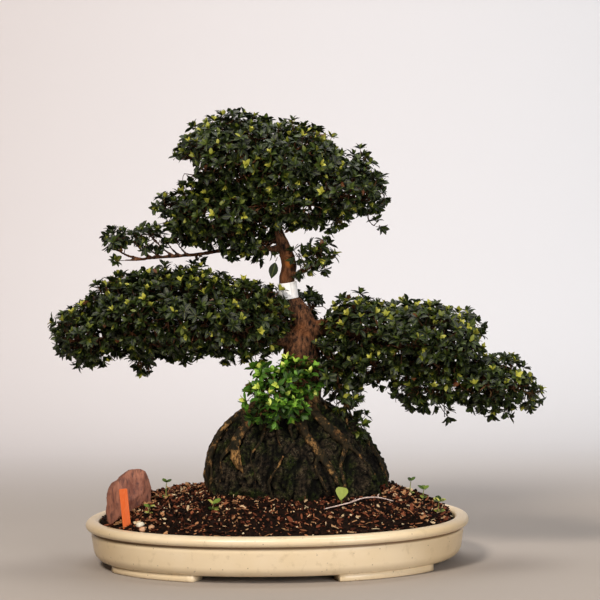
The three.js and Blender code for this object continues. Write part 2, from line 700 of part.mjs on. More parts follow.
// Put together
const group = new THREE.Group();
const rock = makeRock();
const wood = largestBody(allWood());
const woodRoom = allWood(CLEARANCE);
const rootRoom = allWood(ROOT_CLEARANCE);
const rockRoom = makeRock(1.004);

const add = (name, manifold, finish) => group.add(piece(name, manifold, finish));

add("pot", makePot(), glazedCream);
add("drain_screen_left", makeScreen(-DRAIN_HOLE_X), blackMesh);
add("drain_screen_right", makeScreen(DRAIN_HOLE_X), blackMesh);

const inTheSoil = [
  rockRoom,
  woodRoom,
  screenRoom(-DRAIN_HOLE_X),
  screenRoom(DRAIN_HOLE_X),
  stone(RED_STONE, CLEARANCE),
  makeLabel(CLEARANCE),
  bareTwig(CLEARANCE),
  ...Object.values(PEBBLES).map((pebble) => stone(pebble, CLEARANCE)),
  ...Object.values(WEEDS).map((weed) => weedStem(weed, CLEARANCE)),
];
add("soil", largestBody(makeSoil().subtract(wasm.Manifold.union(inTheSoil))), darkSoil);
add("rock", largestBody(rock.subtract(rootRoom)), mossyRock);
add("wood", wood, azaleaBark);

const pads = Object.entries(PADS);
pads.forEach(([name, lobes], i) => {
  const earlier = pads.slice(0, i).flatMap(([, others]) => others);
  const neighbours = earlier.filter((other) => lobes.some((lobe) => nearLobes(lobe, other)));
  const cutters = [woodRoom, rockRoom, band(CLEARANCE), ...neighbours.map((lobe) => lobeCore(lobe, -9, 2))];
  const finish = name === "foliage_cascade" ? youngLeaf : darkLeaf;
  add(name, makePad(lobes, cutters, 130 + i), finish);
});

function nearLobes(one, two) {
  return [0, 1, 2].every((axis) => Math.abs(one[axis] - two[axis]) < one[axis + 3] + two[axis + 3] + 12);
}

add("hanging_leaf", hangingLeaf().subtract(woodRoom), darkLeaf);
add("trunk_band", band().subtract(woodRoom), whiteTape);
add("red_stone", stone(RED_STONE), redStone);
add("plant_label", makeLabel(), orangePlastic);
add("bare_twig", bareTwig(), bleachedTwig);
for (const [name, pebble] of Object.entries(PEBBLES)) add(name, stone(pebble), paleStone);
Object.entries(WEEDS).forEach(([name, weed], i) => add(name, makeWeed(weed, 40 + i), weedLeaf));

// The origin lies on the table under the middle of the whole
const box = new THREE.Box3().setFromObject(group);
const middle = box.getCenter(new THREE.Vector3());
for (const mesh of group.children) mesh.geometry.translate(-middle.x, -middle.y, -box.min.z);

export default group;
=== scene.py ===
"""A satsuki azalea bonsai, grown root over rock, in a shallow glazed oval pot."""
import math

import bmesh
import bpy
import numpy as np
from mathutils import Matrix, Vector, noise


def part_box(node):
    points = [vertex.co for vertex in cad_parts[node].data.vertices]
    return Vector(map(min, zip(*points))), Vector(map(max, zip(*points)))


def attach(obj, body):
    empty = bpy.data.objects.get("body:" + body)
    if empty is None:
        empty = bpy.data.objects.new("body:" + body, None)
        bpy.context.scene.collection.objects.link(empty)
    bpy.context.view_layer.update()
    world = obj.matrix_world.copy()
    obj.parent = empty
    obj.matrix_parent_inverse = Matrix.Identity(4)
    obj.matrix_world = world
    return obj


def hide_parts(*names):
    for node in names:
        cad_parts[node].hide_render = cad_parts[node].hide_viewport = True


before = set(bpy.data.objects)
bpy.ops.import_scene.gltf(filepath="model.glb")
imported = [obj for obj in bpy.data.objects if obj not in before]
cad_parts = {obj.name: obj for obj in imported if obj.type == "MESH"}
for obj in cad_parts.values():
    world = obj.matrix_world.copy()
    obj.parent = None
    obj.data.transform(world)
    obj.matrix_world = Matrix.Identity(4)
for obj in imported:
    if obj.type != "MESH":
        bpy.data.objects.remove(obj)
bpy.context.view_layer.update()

# Camera
# Stands 3.4 m in front of the pot and a little to its right, at 0.59 m, and looks slightly down through a
# long lens.
pot_low, pot_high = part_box("pot")
# The middle of the pot's underside, from which everything below is measured.
MIDDLE = np.array([(pot_low[0] + pot_high[0]) / 2, (pot_low[1] + pot_high[1]) / 2, 0.0])
MM = 0.001


def at(points):
    """Millimetres from the pot's middle to metres in the model."""
    return np.asarray(points, float) * MM + MIDDLE


CAMERA_DISTANCE, CAMERA_HEIGHT, CAMERA_TURN = 3400.0, 585.6, math.radians(5.4)
CAMERA_HEADING, CAMERA_PITCH, CAMERA_ROLL = math.radians(4.68), math.radians(2.99), math.radians(-1.11)
SENSOR_WIDTH, LENS_LENGTH = 36, 131.08
forward = Vector((
    -math.sin(CAMERA_HEADING) * math.cos(CAMERA_PITCH),
    math.cos(CAMERA_HEADING) * math.cos(CAMERA_PITCH),
    -math.sin(CAMERA_PITCH),
))
level_right = forward.cross(Vector((0, 0, 1))).normalized()
level_up = level_right.cross(forward)
right = level_right * math.cos(CAMERA_ROLL) + level_up * math.sin(CAMERA_ROLL)
up = level_up * math.cos(CAMERA_ROLL) - level_right * math.sin(CAMERA_ROLL)
camera = bpy.data.objects.new("camera", bpy.data.cameras.new("camera"))
camera.data.sensor_width = SENSOR_WIDTH
camera.data.lens = LENS_LENGTH
camera.data.clip_start, camera.data.clip_end = 0.1, 40
spot = at([CAMERA_DISTANCE * math.sin(CAMERA_TURN), -CAMERA_DISTANCE * math.cos(CAMERA_TURN), CAMERA_HEIGHT])
camera.matrix_world = Matrix.Translation(spot) @ Matrix((right, up, -forward)).transposed().to_4x4()
bpy.context.scene.collection.objects.link(camera)
bpy.context.scene.camera = camera

# Studio
# A pale paper sweep: a floor that curves up into a wall behind. A large soft light stands at the upper left
# and a weaker one at the right, one hangs above and one lights the wall.


def linear(hex_colour):
    """An sRGB hex colour as linear red, green, blue and alpha."""
    parts = [int(hex_colour[i:i + 2], 16) / 255 for i in (1, 3, 5)]
    return tuple(c / 12.92 if c <= 0.04045 else ((c + 0.055) / 1.055) ** 2.4 for c in parts) + (1.0,)


def add(tree, kind, inputs=None, **settings):
    """Adds a shader node with its settings; an input is a number, a colour or another node's socket."""
    made = tree.nodes.new("ShaderNode" + kind)
    for key, value in settings.items():
        setattr(made, key, value)
    for key, value in (inputs or {}).items():
        if isinstance(value, bpy.types.NodeSocket):
            tree.links.new(value, made.inputs[key])
        else:
            made.inputs[key].default_value = value
    return made


def new_material(name):
    """A material with an empty tree, and the coordinates of the model in metres."""
    made = bpy.data.materials.new(name)
    made.use_nodes = True
    made.node_tree.nodes.clear()
    return made, made.node_tree, add(made.node_tree, "TexCoord").outputs["Object"]


def mix(tree, share, first, second, **settings):
    """The first colour turning into the second by share; a colour is a hex string or a socket."""
    first, second = (linear(c) if isinstance(c, str) else c for c in (first, second))
    inputs = {"Factor": share, "A": first, "B": second}
    return add(tree, "Mix", inputs, data_type="RGBA", **settings).outputs["Result"]


def remap(tree, value, start, end, low=0.0, high=1.0, **settings):
    """A value that goes from low to high as another goes from start to end."""
    inputs = {"Value": value, "From Min": start, "From Max": end, "To Min": low, "To Max": high}
    return add(tree, "MapRange", inputs, **settings).outputs["Result"]


def surface(tree, colour, roughness, normal=None, ior=None, specular=None):
    """Ends a material in one opaque surface."""
    inputs = {"Base Color": colour, "Roughness": roughness, "Normal": normal}
    inputs.update({"IOR": ior, "Specular IOR Level": specular})
    shader = add(tree, "BsdfPrincipled", {key: value for key, value in inputs.items() if value is not None})
    tree.links.new(shader.outputs[0], add(tree, "OutputMaterial").inputs["Surface"])


def make_object(name, points, faces, material, smooth=True):
    """A mesh object from points in millimetres and lists of faces."""
    mesh = bpy.data.meshes.new(name)
    mesh.from_pydata(at(points).tolist(), [], [list(map(int, f)) for f in faces])
    mesh.materials.append(material)
    mesh.polygons.foreach_set("use_smooth", [smooth] * len(mesh.polygons))
    mesh.update()
    made = bpy.data.objects.new(name, mesh)
    bpy.context.scene.collection.objects.link(made)
    return made


bpy.context.scene.view_settings.view_transform = "Standard"
paper, tree, coords = new_material("matte_studio_paper")
places = add(tree, "SeparateXYZ", {"Vector": coords})
wall = mix(tree, remap(tree, places.outputs["X"], -1.2, 1.2), "#ece5e5", "#e8ecf3")
away = remap(tree, places.outputs["Y"], 0.4, 2.2, interpolation_type="SMOOTHSTEP")
surface(tree, mix(tree, away, "#a59d97", wall), 0.9)
SWEEP_FRONT, SWEEP_BACK, SWEEP_RADIUS, SWEEP_TOP, SWEEP_HALF = -6000, 2600, 1200, 6000, 6000
SWEEP_FLOOR = -0.5
bend_start = SWEEP_BACK - SWEEP_RADIUS
profile = [(SWEEP_FRONT, SWEEP_FLOOR), (bend_start, SWEEP_FLOOR)]
profile += [
    (bend_start + SWEEP_RADIUS * math.sin(a), SWEEP_RADIUS - SWEEP_RADIUS * math.cos(a) + SWEEP_FLOOR)
    for a in np.linspace(0.1, math.pi / 2, 16)
]
profile += [(SWEEP_BACK, SWEEP_TOP)]
points = [(x, y, z) for y, z in profile for x in (-SWEEP_HALF, SWEEP_HALF)]
faces = [(2 * i, 2 * i + 1, 2 * i + 3, 2 * i + 2) for i in range(len(profile) - 1)]
floor = make_object("floor", points, faces, paper)
for name, place, aim, size, watts, colour in (
    ("key_light", (-0.9, -2.3, 2.5), (0, 0, 0.3), 0.8, 88, "#fff3e4"),
    ("fill_light", (1.7, -2.6, 0.95), (0, 0, 0.2), 1.4, 54, "#fbf6f2"),
    ("top_light", (0.3, 0.3, 2.6), (0, 0, 0.4), 1.0, 15, "#fff8ea"),
    ("wall_light", (0.0, 1.0, 3.2), (0, 2.6, 0.9), 2.6, 45, "#f9fbff"),
):
    lamp = bpy.data.lights.new(name, "AREA")
    lamp.shape, lamp.size, lamp.energy, lamp.color = "DISK", size, watts, linear(colour)[:3]
    light = bpy.data.objects.new(name, lamp)
    light.location = place
    light.rotation_euler = (Vector(aim) - Vector(place)).to_track_quat("-Z", "Y").to_euler()
    bpy.context.scene.collection.objects.link(light)
world = bpy.data.worlds.new("world")
world.use_nodes = True
world.node_tree.nodes["Background"].inputs["Color"].default_value = linear("#efe9e4")
world.node_tree.nodes["Background"].inputs["Strength"].default_value = 0.05
bpy.context.scene.world = world

# Pot
# A shallow oval bonsai pot of stoneware, pressed in a mould, with a rolled lip and four low feet, glazed in
# satin cream that breaks brown in the groove under the lip.
POT_REACH, POT_SLIMMER, OVAL_POWER, POT_HEIGHT = 300.0, 75.0, 2.15, 72.0
FLOOR_TOP, FOOT_HEIGHT, WALL_FACE = 17.0, 8.0, 291.0
LIP_INSIDE = POT_REACH - 22


def on_oval(reach, turn):
    """The point of an oval ring of this half length, at this turn from +X."""
    narrow = np.maximum(reach - POT_SLIMMER, reach * 0.4)
    x = np.sign(np.cos(turn)) * np.abs(np.cos(turn)) ** (2 / OVAL_POWER)
    y = np.sign(np.sin(turn)) * np.abs(np.sin(turn)) ** (2 / OVAL_POWER)
    return reach * x, narrow * y


def oval_turns(count):
    """Turns that space points evenly round the oval."""
    fine = np.linspace(0, 2 * math.pi, 20001)
    x, y = on_oval(POT_REACH, fine)
    travelled = np.concatenate([[0], np.cumsum(np.hypot(np.diff(x), np.diff(y)))])
    return np.interp(np.linspace(0, travelled[-1], count, endpoint=False), travelled, fine)


def rounded(corners, radius, steps=4):
    """A profile with each inner corner rounded off."""
    corners = [np.array(c, float) for c in corners]
    out = [corners[0]]
    for before, corner, after in zip(corners, corners[1:], corners[2:]):
        into, onward = before - corner, after - corner
        cut = min(radius, 0.45 * np.linalg.norm(into), 0.45 * np.linalg.norm(onward))
        start = corner + into / np.linalg.norm(into) * cut
        end = corner + onward / np.linalg.norm(onward) * cut
        for t in np.linspace(0, 1, steps):
            out.append((1 - t) ** 2 * start + 2 * t * (1 - t) * corner + t ** 2 * end)
    return out + [corners[-1]]


def band(rings):
    """Quads between each closed ring of point numbers and the next."""
    return [
        (lower[i], lower[(i + 1) % len(lower)], upper[(i + 1) % len(lower)], upper[i])
        for lower, upper in zip(rings, rings[1:]) for i in range(len(lower))
    ]


def oval_lathe(profile, count):
    """Points and faces of a profile of (reach, height) turned round the oval; ends on the axis are closed."""
    turns = oval_turns(count)
    points, rings = [], []
    for reach, height in profile:
        if reach < 1e-6:
            rings.append([len(points)] * count)
            points.append((0, 0, height))
            continue
        x, y = on_oval(reach, turns)
        rings.append(list(range(len(points), len(points) + count)))
        points += list(zip(x, y, [height] * count))
    return points, [list(dict.fromkeys(face)) for face in band(rings)]


def ride(piece, slot, *nodes):
    """Fixes a piece to the model in place of the solids it stands for; slot, the finish it takes, is not used."""
    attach(piece, "root")
    if nodes:
        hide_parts(*nodes)
    return piece


outside = [
    (0, FOOT_HEIGHT), (WALL_FACE - 30, FOOT_HEIGHT), (WALL_FACE - 12, FOOT_HEIGHT + 2.5),
    (WALL_FACE - 4, FOOT_HEIGHT + 12), (WALL_FACE, POT_HEIGHT - 24), (WALL_FACE - 0.5, POT_HEIGHT - 19.5),
    (WALL_FACE - 3, POT_HEIGHT - 18), (WALL_FACE - 2.5, POT_HEIGHT - 16), (POT_REACH - 3, POT_HEIGHT - 14.5),
    (POT_REACH, POT_HEIGHT - 9), (POT_REACH - 2, POT_HEIGHT - 3.5), (POT_REACH - 9, POT_HEIGHT),
    (POT_REACH - 18, POT_HEIGHT - 0.6), (LIP_INSIDE, POT_HEIGHT - 4),
]
inside = [
    (LIP_INSIDE + 0.8, POT_HEIGHT - 14), (LIP_INSIDE - 2, FLOOR_TOP + 10), (LIP_INSIDE - 18, FLOOR_TOP),
    (0, FLOOR_TOP),
]
points, faces = oval_lathe(rounded(outside + inside, 5.0), 180)
FOOT_FROM, FOOT_TO = 110.0, 246.0
for side_x in (-1, 1):
    for side_y in (-1, 1):
        # Each foot is a low curved bar, its ends cut square and its lower edge rounded.
        outer = WALL_FACE - 14
        turns = np.linspace(*[math.acos((x / outer) ** (OVAL_POWER / 2)) for x in (FOOT_FROM, FOOT_TO)], 20)
        section = [(0, 11.5), (0, 1.6), (1.4, 0), (26.6, 0), (28, 1.6), (28, 11.5)]
        start = len(points)
        for turn in turns:
            for inward, height in section:
                x, y = on_oval(outer - inward, turn)
                points.append((side_x * x, side_y * y, height))
        n = len(section)
        flip = side_x * side_y > 0
        for i in range(len(turns) - 1):
            for j in range(n):
                a, b = start + i * n + j, start + i * n + (j + 1) % n
                face = [a, b, b + n, a + n]
                faces.append(face[::-1] if flip else face)
        ends = [[start + j for j in range(n)][::-1], [start + (len(turns) - 1) * n + j for j in range(n)]]
        faces += [e[::-1] for e in ends] if flip else ends


def math_node(tree, operation, *values):
    return add(tree, "Math", dict(enumerate(values)), operation=operation).outputs[0]


def grains(tree, coords, size, detail=2.0, roughness=0.5):
    """Noise with grains about this many metres across."""
    inputs = {"Vector": coords, "Scale": 1 / size, "Detail": detail, "Roughness": roughness}
    return add(tree, "TexNoise", inputs).outputs["Fac"]


def specks(tree, coords, size):
    """The distance to the middle of the nearest of many scattered cells."""
    cells = add(tree, "TexVoronoi", {"Vector": coords, "Scale": 1 / size, "Randomness": 1.0})
    return cells.outputs["Distance"]


def relief(tree, height, strength, distance):
    return add(tree, "Bump", {"Height": height, "Strength": strength, "Distance": distance}).outputs["Normal"]


def off(tree, value, middle):
    """How far a value lies from this middle, either way."""
    return math_node(tree, "ABSOLUTE", math_node(tree, "ADD", value, -middle))


# Stoneware glaze: satin, with a slow drift from cream to greenish tan at the ends, brown where it runs thin
# and a few iron specks.
GROOVE_HEIGHT = 0.0545
glaze, tree, coords = new_material("satin_cream_stoneware_glaze")
axes = add(tree, "SeparateXYZ", {"Vector": coords})
off_middle = off(tree, axes.outputs["X"], MIDDLE[0])
tan_ends = remap(tree, off_middle, 0.17, 0.3, 0.0, 0.55, interpolation_type="SMOOTHSTEP")
shade = mix(tree, grains(tree, coords, 0.05, 4.0), "#e2cda6", "#efdfc4")
shade = mix(tree, tan_ends, shade, "#c2a574")
groove = remap(tree, off(tree, axes.outputs["Z"], GROOVE_HEIGHT), 0.0008, 0.0030, 0.85, 0.0)
shade = mix(tree, groove, shade, "#6d4d2c")
shade = mix(tree, remap(tree, specks(tree, coords, 0.011), 0.05, 0.11, 0.6, 0.0), shade, "#5a4228")
stain = remap(tree, grains(tree, coords, 0.016, 6.0, 0.65), 0.56, 0.74, 0.0, 0.35)
shade = mix(tree, stain, shade, "#a58f63")
surface(tree, shade, 0.34, relief(tree, grains(tree, coords, 0.009, 3.0), 0.12, 0.001), ior=1.52)
pot = ride(make_object("pot_glazed", points, faces, glaze), "glazed_pot", "pot")

# Drain screens
# Squares of black plastic mesh laid on the pot's floor over the two drain holes, under the soil. The solids
# have their shape, so they only take the plastic's finish.
mesh_plastic, tree, coords = new_material("black_polyethylene_mesh")
surface(tree, mix(tree, grains(tree, coords, 0.002), "#141414", "#2a2a2a"), 0.55, ior=1.5)
for side in ("left", "right"):
    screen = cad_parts["drain_screen_" + side]
    screen.data.materials.clear()
    screen.data.materials.append(mesh_plastic)

# Soil
# A mound of composted bark that falls from the rock to the rim, dark and damp, covered with loose flakes of
# reddish and tan bark.
SOIL_EDGE, SOIL_RISE, SOIL_REACH = 65.0, 54.0, POT_REACH - 23.5


def soil_height(x, y):
    """The height of the mound at a place: the solid's low waves, but a little lower at the left."""
    low, high = np.full(np.shape(x), 1.0), np.full(np.shape(x), SOIL_REACH * 1.2)
    for _ in range(22):
        reach = (low + high) / 2
        narrow = np.maximum(reach - POT_SLIMMER, reach * 0.4)
        beyond = (np.abs(x) / reach) ** OVAL_POWER + (np.abs(y) / narrow) ** OVAL_POWER > 1
        low, high = np.where(beyond, reach, low), np.where(beyond, high, reach)
    waves = 2.2 * np.sin(x / 17 + 1) * np.cos(y / 14) + 1.5 * np.sin(x / 7 + y / 9)
    dip = 5.5 * np.exp(-((x + 150) / 55) ** 2 - (y / 120) ** 2)
    return SOIL_EDGE + SOIL_RISE * (1 - (high / SOIL_REACH) ** 4.3) + waves - dip


def crumble(points, size, seed):
    """Smooth noise between -1 and 1 at each point, its lumps about this many millimetres across."""
    shift = Vector((seed * 17.3, seed * 5.1, seed * 9.7))
    return np.array([noise.fractal(Vector(p) / size + shift, 0.8, 2.1, 4) for p in points])


shares = np.concatenate([np.linspace(1.0, 0.3, 64), [0.15]])
turns = oval_turns(260)
points = []
for share in shares:
    x, y = on_oval(SOIL_REACH * share, turns)
    points.append(np.stack([x, y, soil_height(x, y)], axis=1))
points = np.concatenate(points)
inward = np.repeat(shares, len(turns)) < 0.995
points[:, 2] += inward * (1.6 * crumble(points, 9, 1) + 1.0)
count = len(turns)
faces = band([range(ring * count, (ring + 1) * count) for ring in range(len(shares))])
faces.append([(len(shares) - 1) * count + i for i in range(count)])
skirt = len(points)
x, y = on_oval(SOIL_REACH - 20, turns)
points = np.concatenate([points, np.stack([x, y, np.full(count, FLOOR_TOP + 1.0)], axis=1)])
faces += [(i, skirt + i, skirt + (i + 1) % count, (i + 1) % count) for i in range(count)]
faces.append([skirt + count - 1 - i for i in range(count)])


def tones(tree, value, stops):
    """A colour for each value, blended between stops of (value, hex colour)."""
    ramp = add(tree, "ValToRGB", {"Fac": value})
    steps = ramp.color_ramp.elements
    steps[0].position, steps[0].color = stops[0][0], linear(stops[0][1])
    steps[1].position, steps[1].color = stops[-1][0], linear(stops[-1][1])
    for place, colour in stops[1:-1]:
        steps.new(place).color = linear(colour)
    return ramp.outputs["Color"]


compost, tree, coords = new_material("damp_bark_compost")
grit = grains(tree, coords, 0.006, 8.0, 0.7)
shade = tones(tree, grit, [(0.4, "#080504"), (0.75, "#2e1d15")])
surface(tree, shade, 0.95, relief(tree, grit, 0.9, 0.003), specular=0.1)
ride(make_object("soil_mound", points, faces, compost), "bark_soil", "soil")

random = np.random.default_rng(11)


def paint(mesh, name, values):
    """Stores one number per point for a material to read."""
    mesh.attributes.new(name, "FLOAT", "POINT").data.foreach_set("value", np.asarray(values, np.float32))


def bark_flakes(number, largest, corners=5):
    """Thin broken plates of bark, tilted at random and sunk a little in the mound."""
    points, faces, tone = [], [], []
    for _ in range(number):
        share, turn = math.sqrt(random.uniform(0.12, 0.985)), random.uniform(0, 2 * math.pi)
        x, y = on_oval(SOIL_REACH * share, np.array([turn]))
        x, y = float(x[0]), float(y[0])
        length = random.uniform(3.0, largest) * random.uniform(0.5, 1)
        width, thick = length * random.uniform(0.35, 0.75), random.uniform(0.6, 1.5)
        angles = np.linspace(0, 2 * math.pi, corners, endpoint=False) + random.uniform(-0.35, 0.35, corners)
        rim = np.stack([np.cos(angles) * length / 2, np.sin(angles) * width / 2, np.zeros(corners)], axis=1)
        plate = np.concatenate([rim + [0, 0, thick / 2], rim * random.uniform(0.8, 1.0) - [0, 0, thick / 2]])
        plate[:, 2] += random.uniform(-0.5, 0.5) * (plate[:, 0] / length) ** 2 * 4
        tilt = 0.25 if share > 0.93 else 0.7
        turned = Matrix.Rotation(random.uniform(0, 6.28), 3, "Z")
        turned = turned @ Matrix.Rotation(random.normal(0, tilt), 3, "X")
        turned = turned @ Matrix.Rotation(random.normal(0, tilt), 3, "Y")
        place = np.array([x, y, float(soil_height(x, y)) + random.uniform(0.2, 4.0)])
        start = len(points)
        points += (plate @ np.array(turned.transposed()) + place).tolist()
        faces.append([start + i for i in range(corners)])
        for i in range(corners):
            j = (i + 1) % corners
            faces.append([start + j, start + i, start + corners + i, start + corners + j])
        tone += [random.random()] * (2 * corners)
    return points, faces, tone


flake_bark, tree, coords = new_material("broken_pine_bark")
shade = tones(tree, add(tree, "Attribute", attribute_name="tone").outputs["Fac"], [
    (0.0, "#0b0605"), (0.38, "#23120b"), (0.6, "#55291b"), (0.78, "#93573c"), (0.92, "#c09368"),
    (1.0, "#e8d5b0"),
])
grain = grains(tree, coords, 0.0025, 4.0)
shade = mix(tree, 0.5, shade, grain, blend_type="OVERLAY")
surface(tree, shade, 0.85, relief(tree, grain, 0.5, 0.001), specular=0.15)
for name, number, largest in (("bark_flakes", 4400, 18.0), ("bark_crumbs", 6500, 7.5)):
    points, faces, tone = bark_flakes(number, largest)
    flakes = ride(make_object(name, points, faces, flake_bark, smooth=False), "bark_soil")
    paint(flakes.data, "tone", tone)

# Rock
# A squat boulder of dark, pitted lava rock, half bedded in the soil, with upright flutes worn into its sides
# and moss on what stays damp.
ROCK_CENTRE, ROCK_REACH, ROCK_POWER = np.array([36.0, -6.0, 150.0]), np.array([144.0, 106.0, 106.0]), 2.5
ROCK_FLAT, ROCK_LEAN = 78.0, 12.0


def smoothstep(value, low, high):
    share = np.clip((value - low) / (high - low), 0, 1)
    return share * share * (3 - 2 * share)


def rock_point(ways):
    """The boulder's surface along unit directions from its centre, with the solid's flutes."""
    x, y, z = ways[:, 0], ways[:, 1], ways[:, 2]
    swell = (np.abs(x) ** ROCK_POWER + np.abs(y) ** ROCK_POWER + np.abs(z) ** ROCK_POWER) ** (-1 / ROCK_POWER)
    turn = np.arctan2(y, x)
    flutes = 0.035 * np.sin(7 * turn) - 0.025 * np.sin(13 * turn + 2.6 * z) + 0.02 * np.sin(5 * z + 3 * turn)
    spread = swell * (1 + flutes) * (1 - 0.26 * smoothstep(z * swell, -0.35, 1))
    lean = ROCK_LEAN * smoothstep(z * swell, -0.5, 0.3)
    out = ROCK_REACH * np.stack([x * spread, y * spread, z * swell * (1 + flutes * 0.5)], axis=1)
    return ROCK_CENTRE + out - np.outer(lean, [1, 0, 0])


def ball(subdivisions):
    """Unit directions spread evenly over a ball, and the triangles between them."""
    shell = bmesh.new()
    bmesh.ops.create_icosphere(shell, subdivisions=subdivisions, radius=1)
    shell.verts.index_update()
    ways = np.array([v.co[:] for v in shell.verts])
    faces = [tuple(v.index for v in f.verts) for f in shell.faces]
    shell.free()
    return ways, faces


DEEPEST, HIGHEST = -11.0, 3.5
ways, faces = ball(7)
ways /= np.linalg.norm(ways, axis=1, keepdims=True)
points = rock_point(ways)
crags = np.array([
    noise.ridged_multi_fractal(Vector((p[0] / 30, p[1] / 30, p[2] / 64)), 0.9, 2.1, 5, 1.0, 2.0)
    for p in points
])
cracks = np.array([noise.noise(Vector((p[0] / 13, p[1] / 13, p[2] / 46))) for p in points])
out = 3.4 * (crags - 1.35) + 2.2 * crumble(points, 8, 3) + 1.0 * crumble(points, 3.2, 4) - 1.5
out = out - 6.0 * np.clip(0.16 - np.abs(cracks), 0, 1) / 0.16
points = points + ways * np.clip(out, DEEPEST, HIGHEST)[:, None]
# The left shoulder is worn lower than the rest.
shoulder = np.exp(-((points[:, 0] + 85) / 38) ** 2 - ((points[:, 2] - 205) / 42) ** 2)
points = points - ways * (6.5 * shoulder)[:, None]
points[:, 2] = np.maximum(points[:, 2], ROCK_FLAT + 1)

lava, tree, coords = new_material("mossy_lava_rock")
fine = grains(tree, coords, 0.005, 10.0, 0.8)
bare = tones(tree, fine, [(0.44, "#030303"), (0.66, "#6a5b47")])
moss = tones(tree, fine, [(0.44, "#040602"), (0.68, "#4f5f22")])
shade = mix(tree, remap(tree, grains(tree, coords, 0.035, 6.0, 0.65), 0.44, 0.58), bare, moss)
# Painted shade: points sunk deep in the relief, read from their stored rise, are darkened to near black; the
# lichen specks keep to the rest.
clear_of_painted_shade = remap(tree, add(tree, "Attribute", attribute_name="rise").outputs["Fac"], 0.35, 0.85, 0.06)
shade = mix(tree, clear_of_painted_shade, "#020202", shade)
lichen = remap(tree, specks(tree, coords, 0.0045), 0.1, 0.2, 0.5, 0.0)
shade = mix(tree, math_node(tree, "MULTIPLY", lichen, clear_of_painted_shade), shade, "#8c8a72")
surface(tree, shade, 0.88, relief(tree, fine, 1.0, 0.004), specular=0.15)
rock = ride(make_object("lava_rock", points, faces, lava), "mossy_rock", "rock")
# Stores each point's rise in the relief, from which the rock's material paints shade into its hollows.
paint(rock.data, "rise", np.clip((out - DEEPEST) / (HIGHEST - DEEPEST), 0, 1))

# Tree
# The azalea's wood, all one growth: roots that grip the rock and run down into the soil, the trunk, and
# branches wired nearly level. Thin reddish-brown bark, paler and rougher on the old roots.


def bend(points, radii, per_span=6):
    """A smooth curve through points, with its radius along it."""
    points = np.asarray(points, float)
    ends = np.concatenate([[2 * points[0] - points[1]], points, [2 * points[-1] - points[-2]]])
    curve, shares = [], []
    for i in range(len(points) - 1):
        p0, p1, p2, p3 = ends[i:i + 4]
        for t in np.linspace(0, 1, per_span, endpoint=i == len(points) - 2):
            second, third = 2 * p0 - 5 * p1 + 4 * p2 - p3, 3 * p1 - p0 - 3 * p2 + p3
            curve.append(0.5 * (2 * p1 + (p2 - p0) * t + second * t * t + third * t ** 3))
            shares.append((i + t) / (len(points) - 1))
    radius = np.interp(np.array(shares) * (len(radii) - 1), range(len(radii)), radii)
    return np.array(curve), radius


def tube(points, radii, sides=10, per_span=6, knobs=0.0, seed=0):
    """Points and faces of a round rod along a bent line, closed at both ends."""
    curve, radius = bend(points, radii, per_span)
    along = np.gradient(curve, axis=0)
    along /= np.linalg.norm(along, axis=1, keepdims=True)
    side = np.cross(along[0], [0.0, 0.0, 1.0] if abs(along[0][2]) < 0.9 else [1.0, 0.0, 0.0])
    rings = []
    for i, (centre, forward_way) in enumerate(zip(curve, along)):
        side = side - forward_way * np.dot(side, forward_way)
        side /= np.linalg.norm(side)
        other = np.cross(forward_way, side)
        angles = np.linspace(0, 2 * math.pi, sides, endpoint=False)
        swell = radius[i] * (1 + knobs * np.sin(3 * angles + i * 0.7 + seed) * np.sin(i * 0.9 + seed))
        across = np.outer(np.cos(angles) * swell, side)
        rings.append(centre + across + np.outer(np.sin(angles) * swell, other))
    count = len(rings)
    numbers = [range(i * sides, (i + 1) * sides) for i in range(count)]
    faces = band(numbers)
    faces.append(list(numbers[0])[::-1])
    faces.append(list(numbers[-1]))
    return np.concatenate(rings), faces


def gather(parts):
    """Joins lists of (points, faces) into one."""
    points, faces, start = [], [], 0
    for some_points, some_faces in parts:
        points.append(some_points)
        faces += [[i + start for i in face] for face in some_faces]
        start += len(some_points)
    return np.concatenate(points), faces


def on_rock(angle, height):
    """The rock's surface at a compass angle, 0 at the front and 90 at the right, and a height."""
    turn, low, high = math.radians(angle), -1.2, 1.5
    for _ in range(30):
        tilt = (low + high) / 2
        way = np.array([[math.sin(turn) * math.cos(tilt), -math.cos(turn) * math.cos(tilt), math.sin(tilt)]])
        point = rock_point(way)[0]
        low, high = (tilt, high) if point[2] < height else (low, tilt)
    return point, way[0]


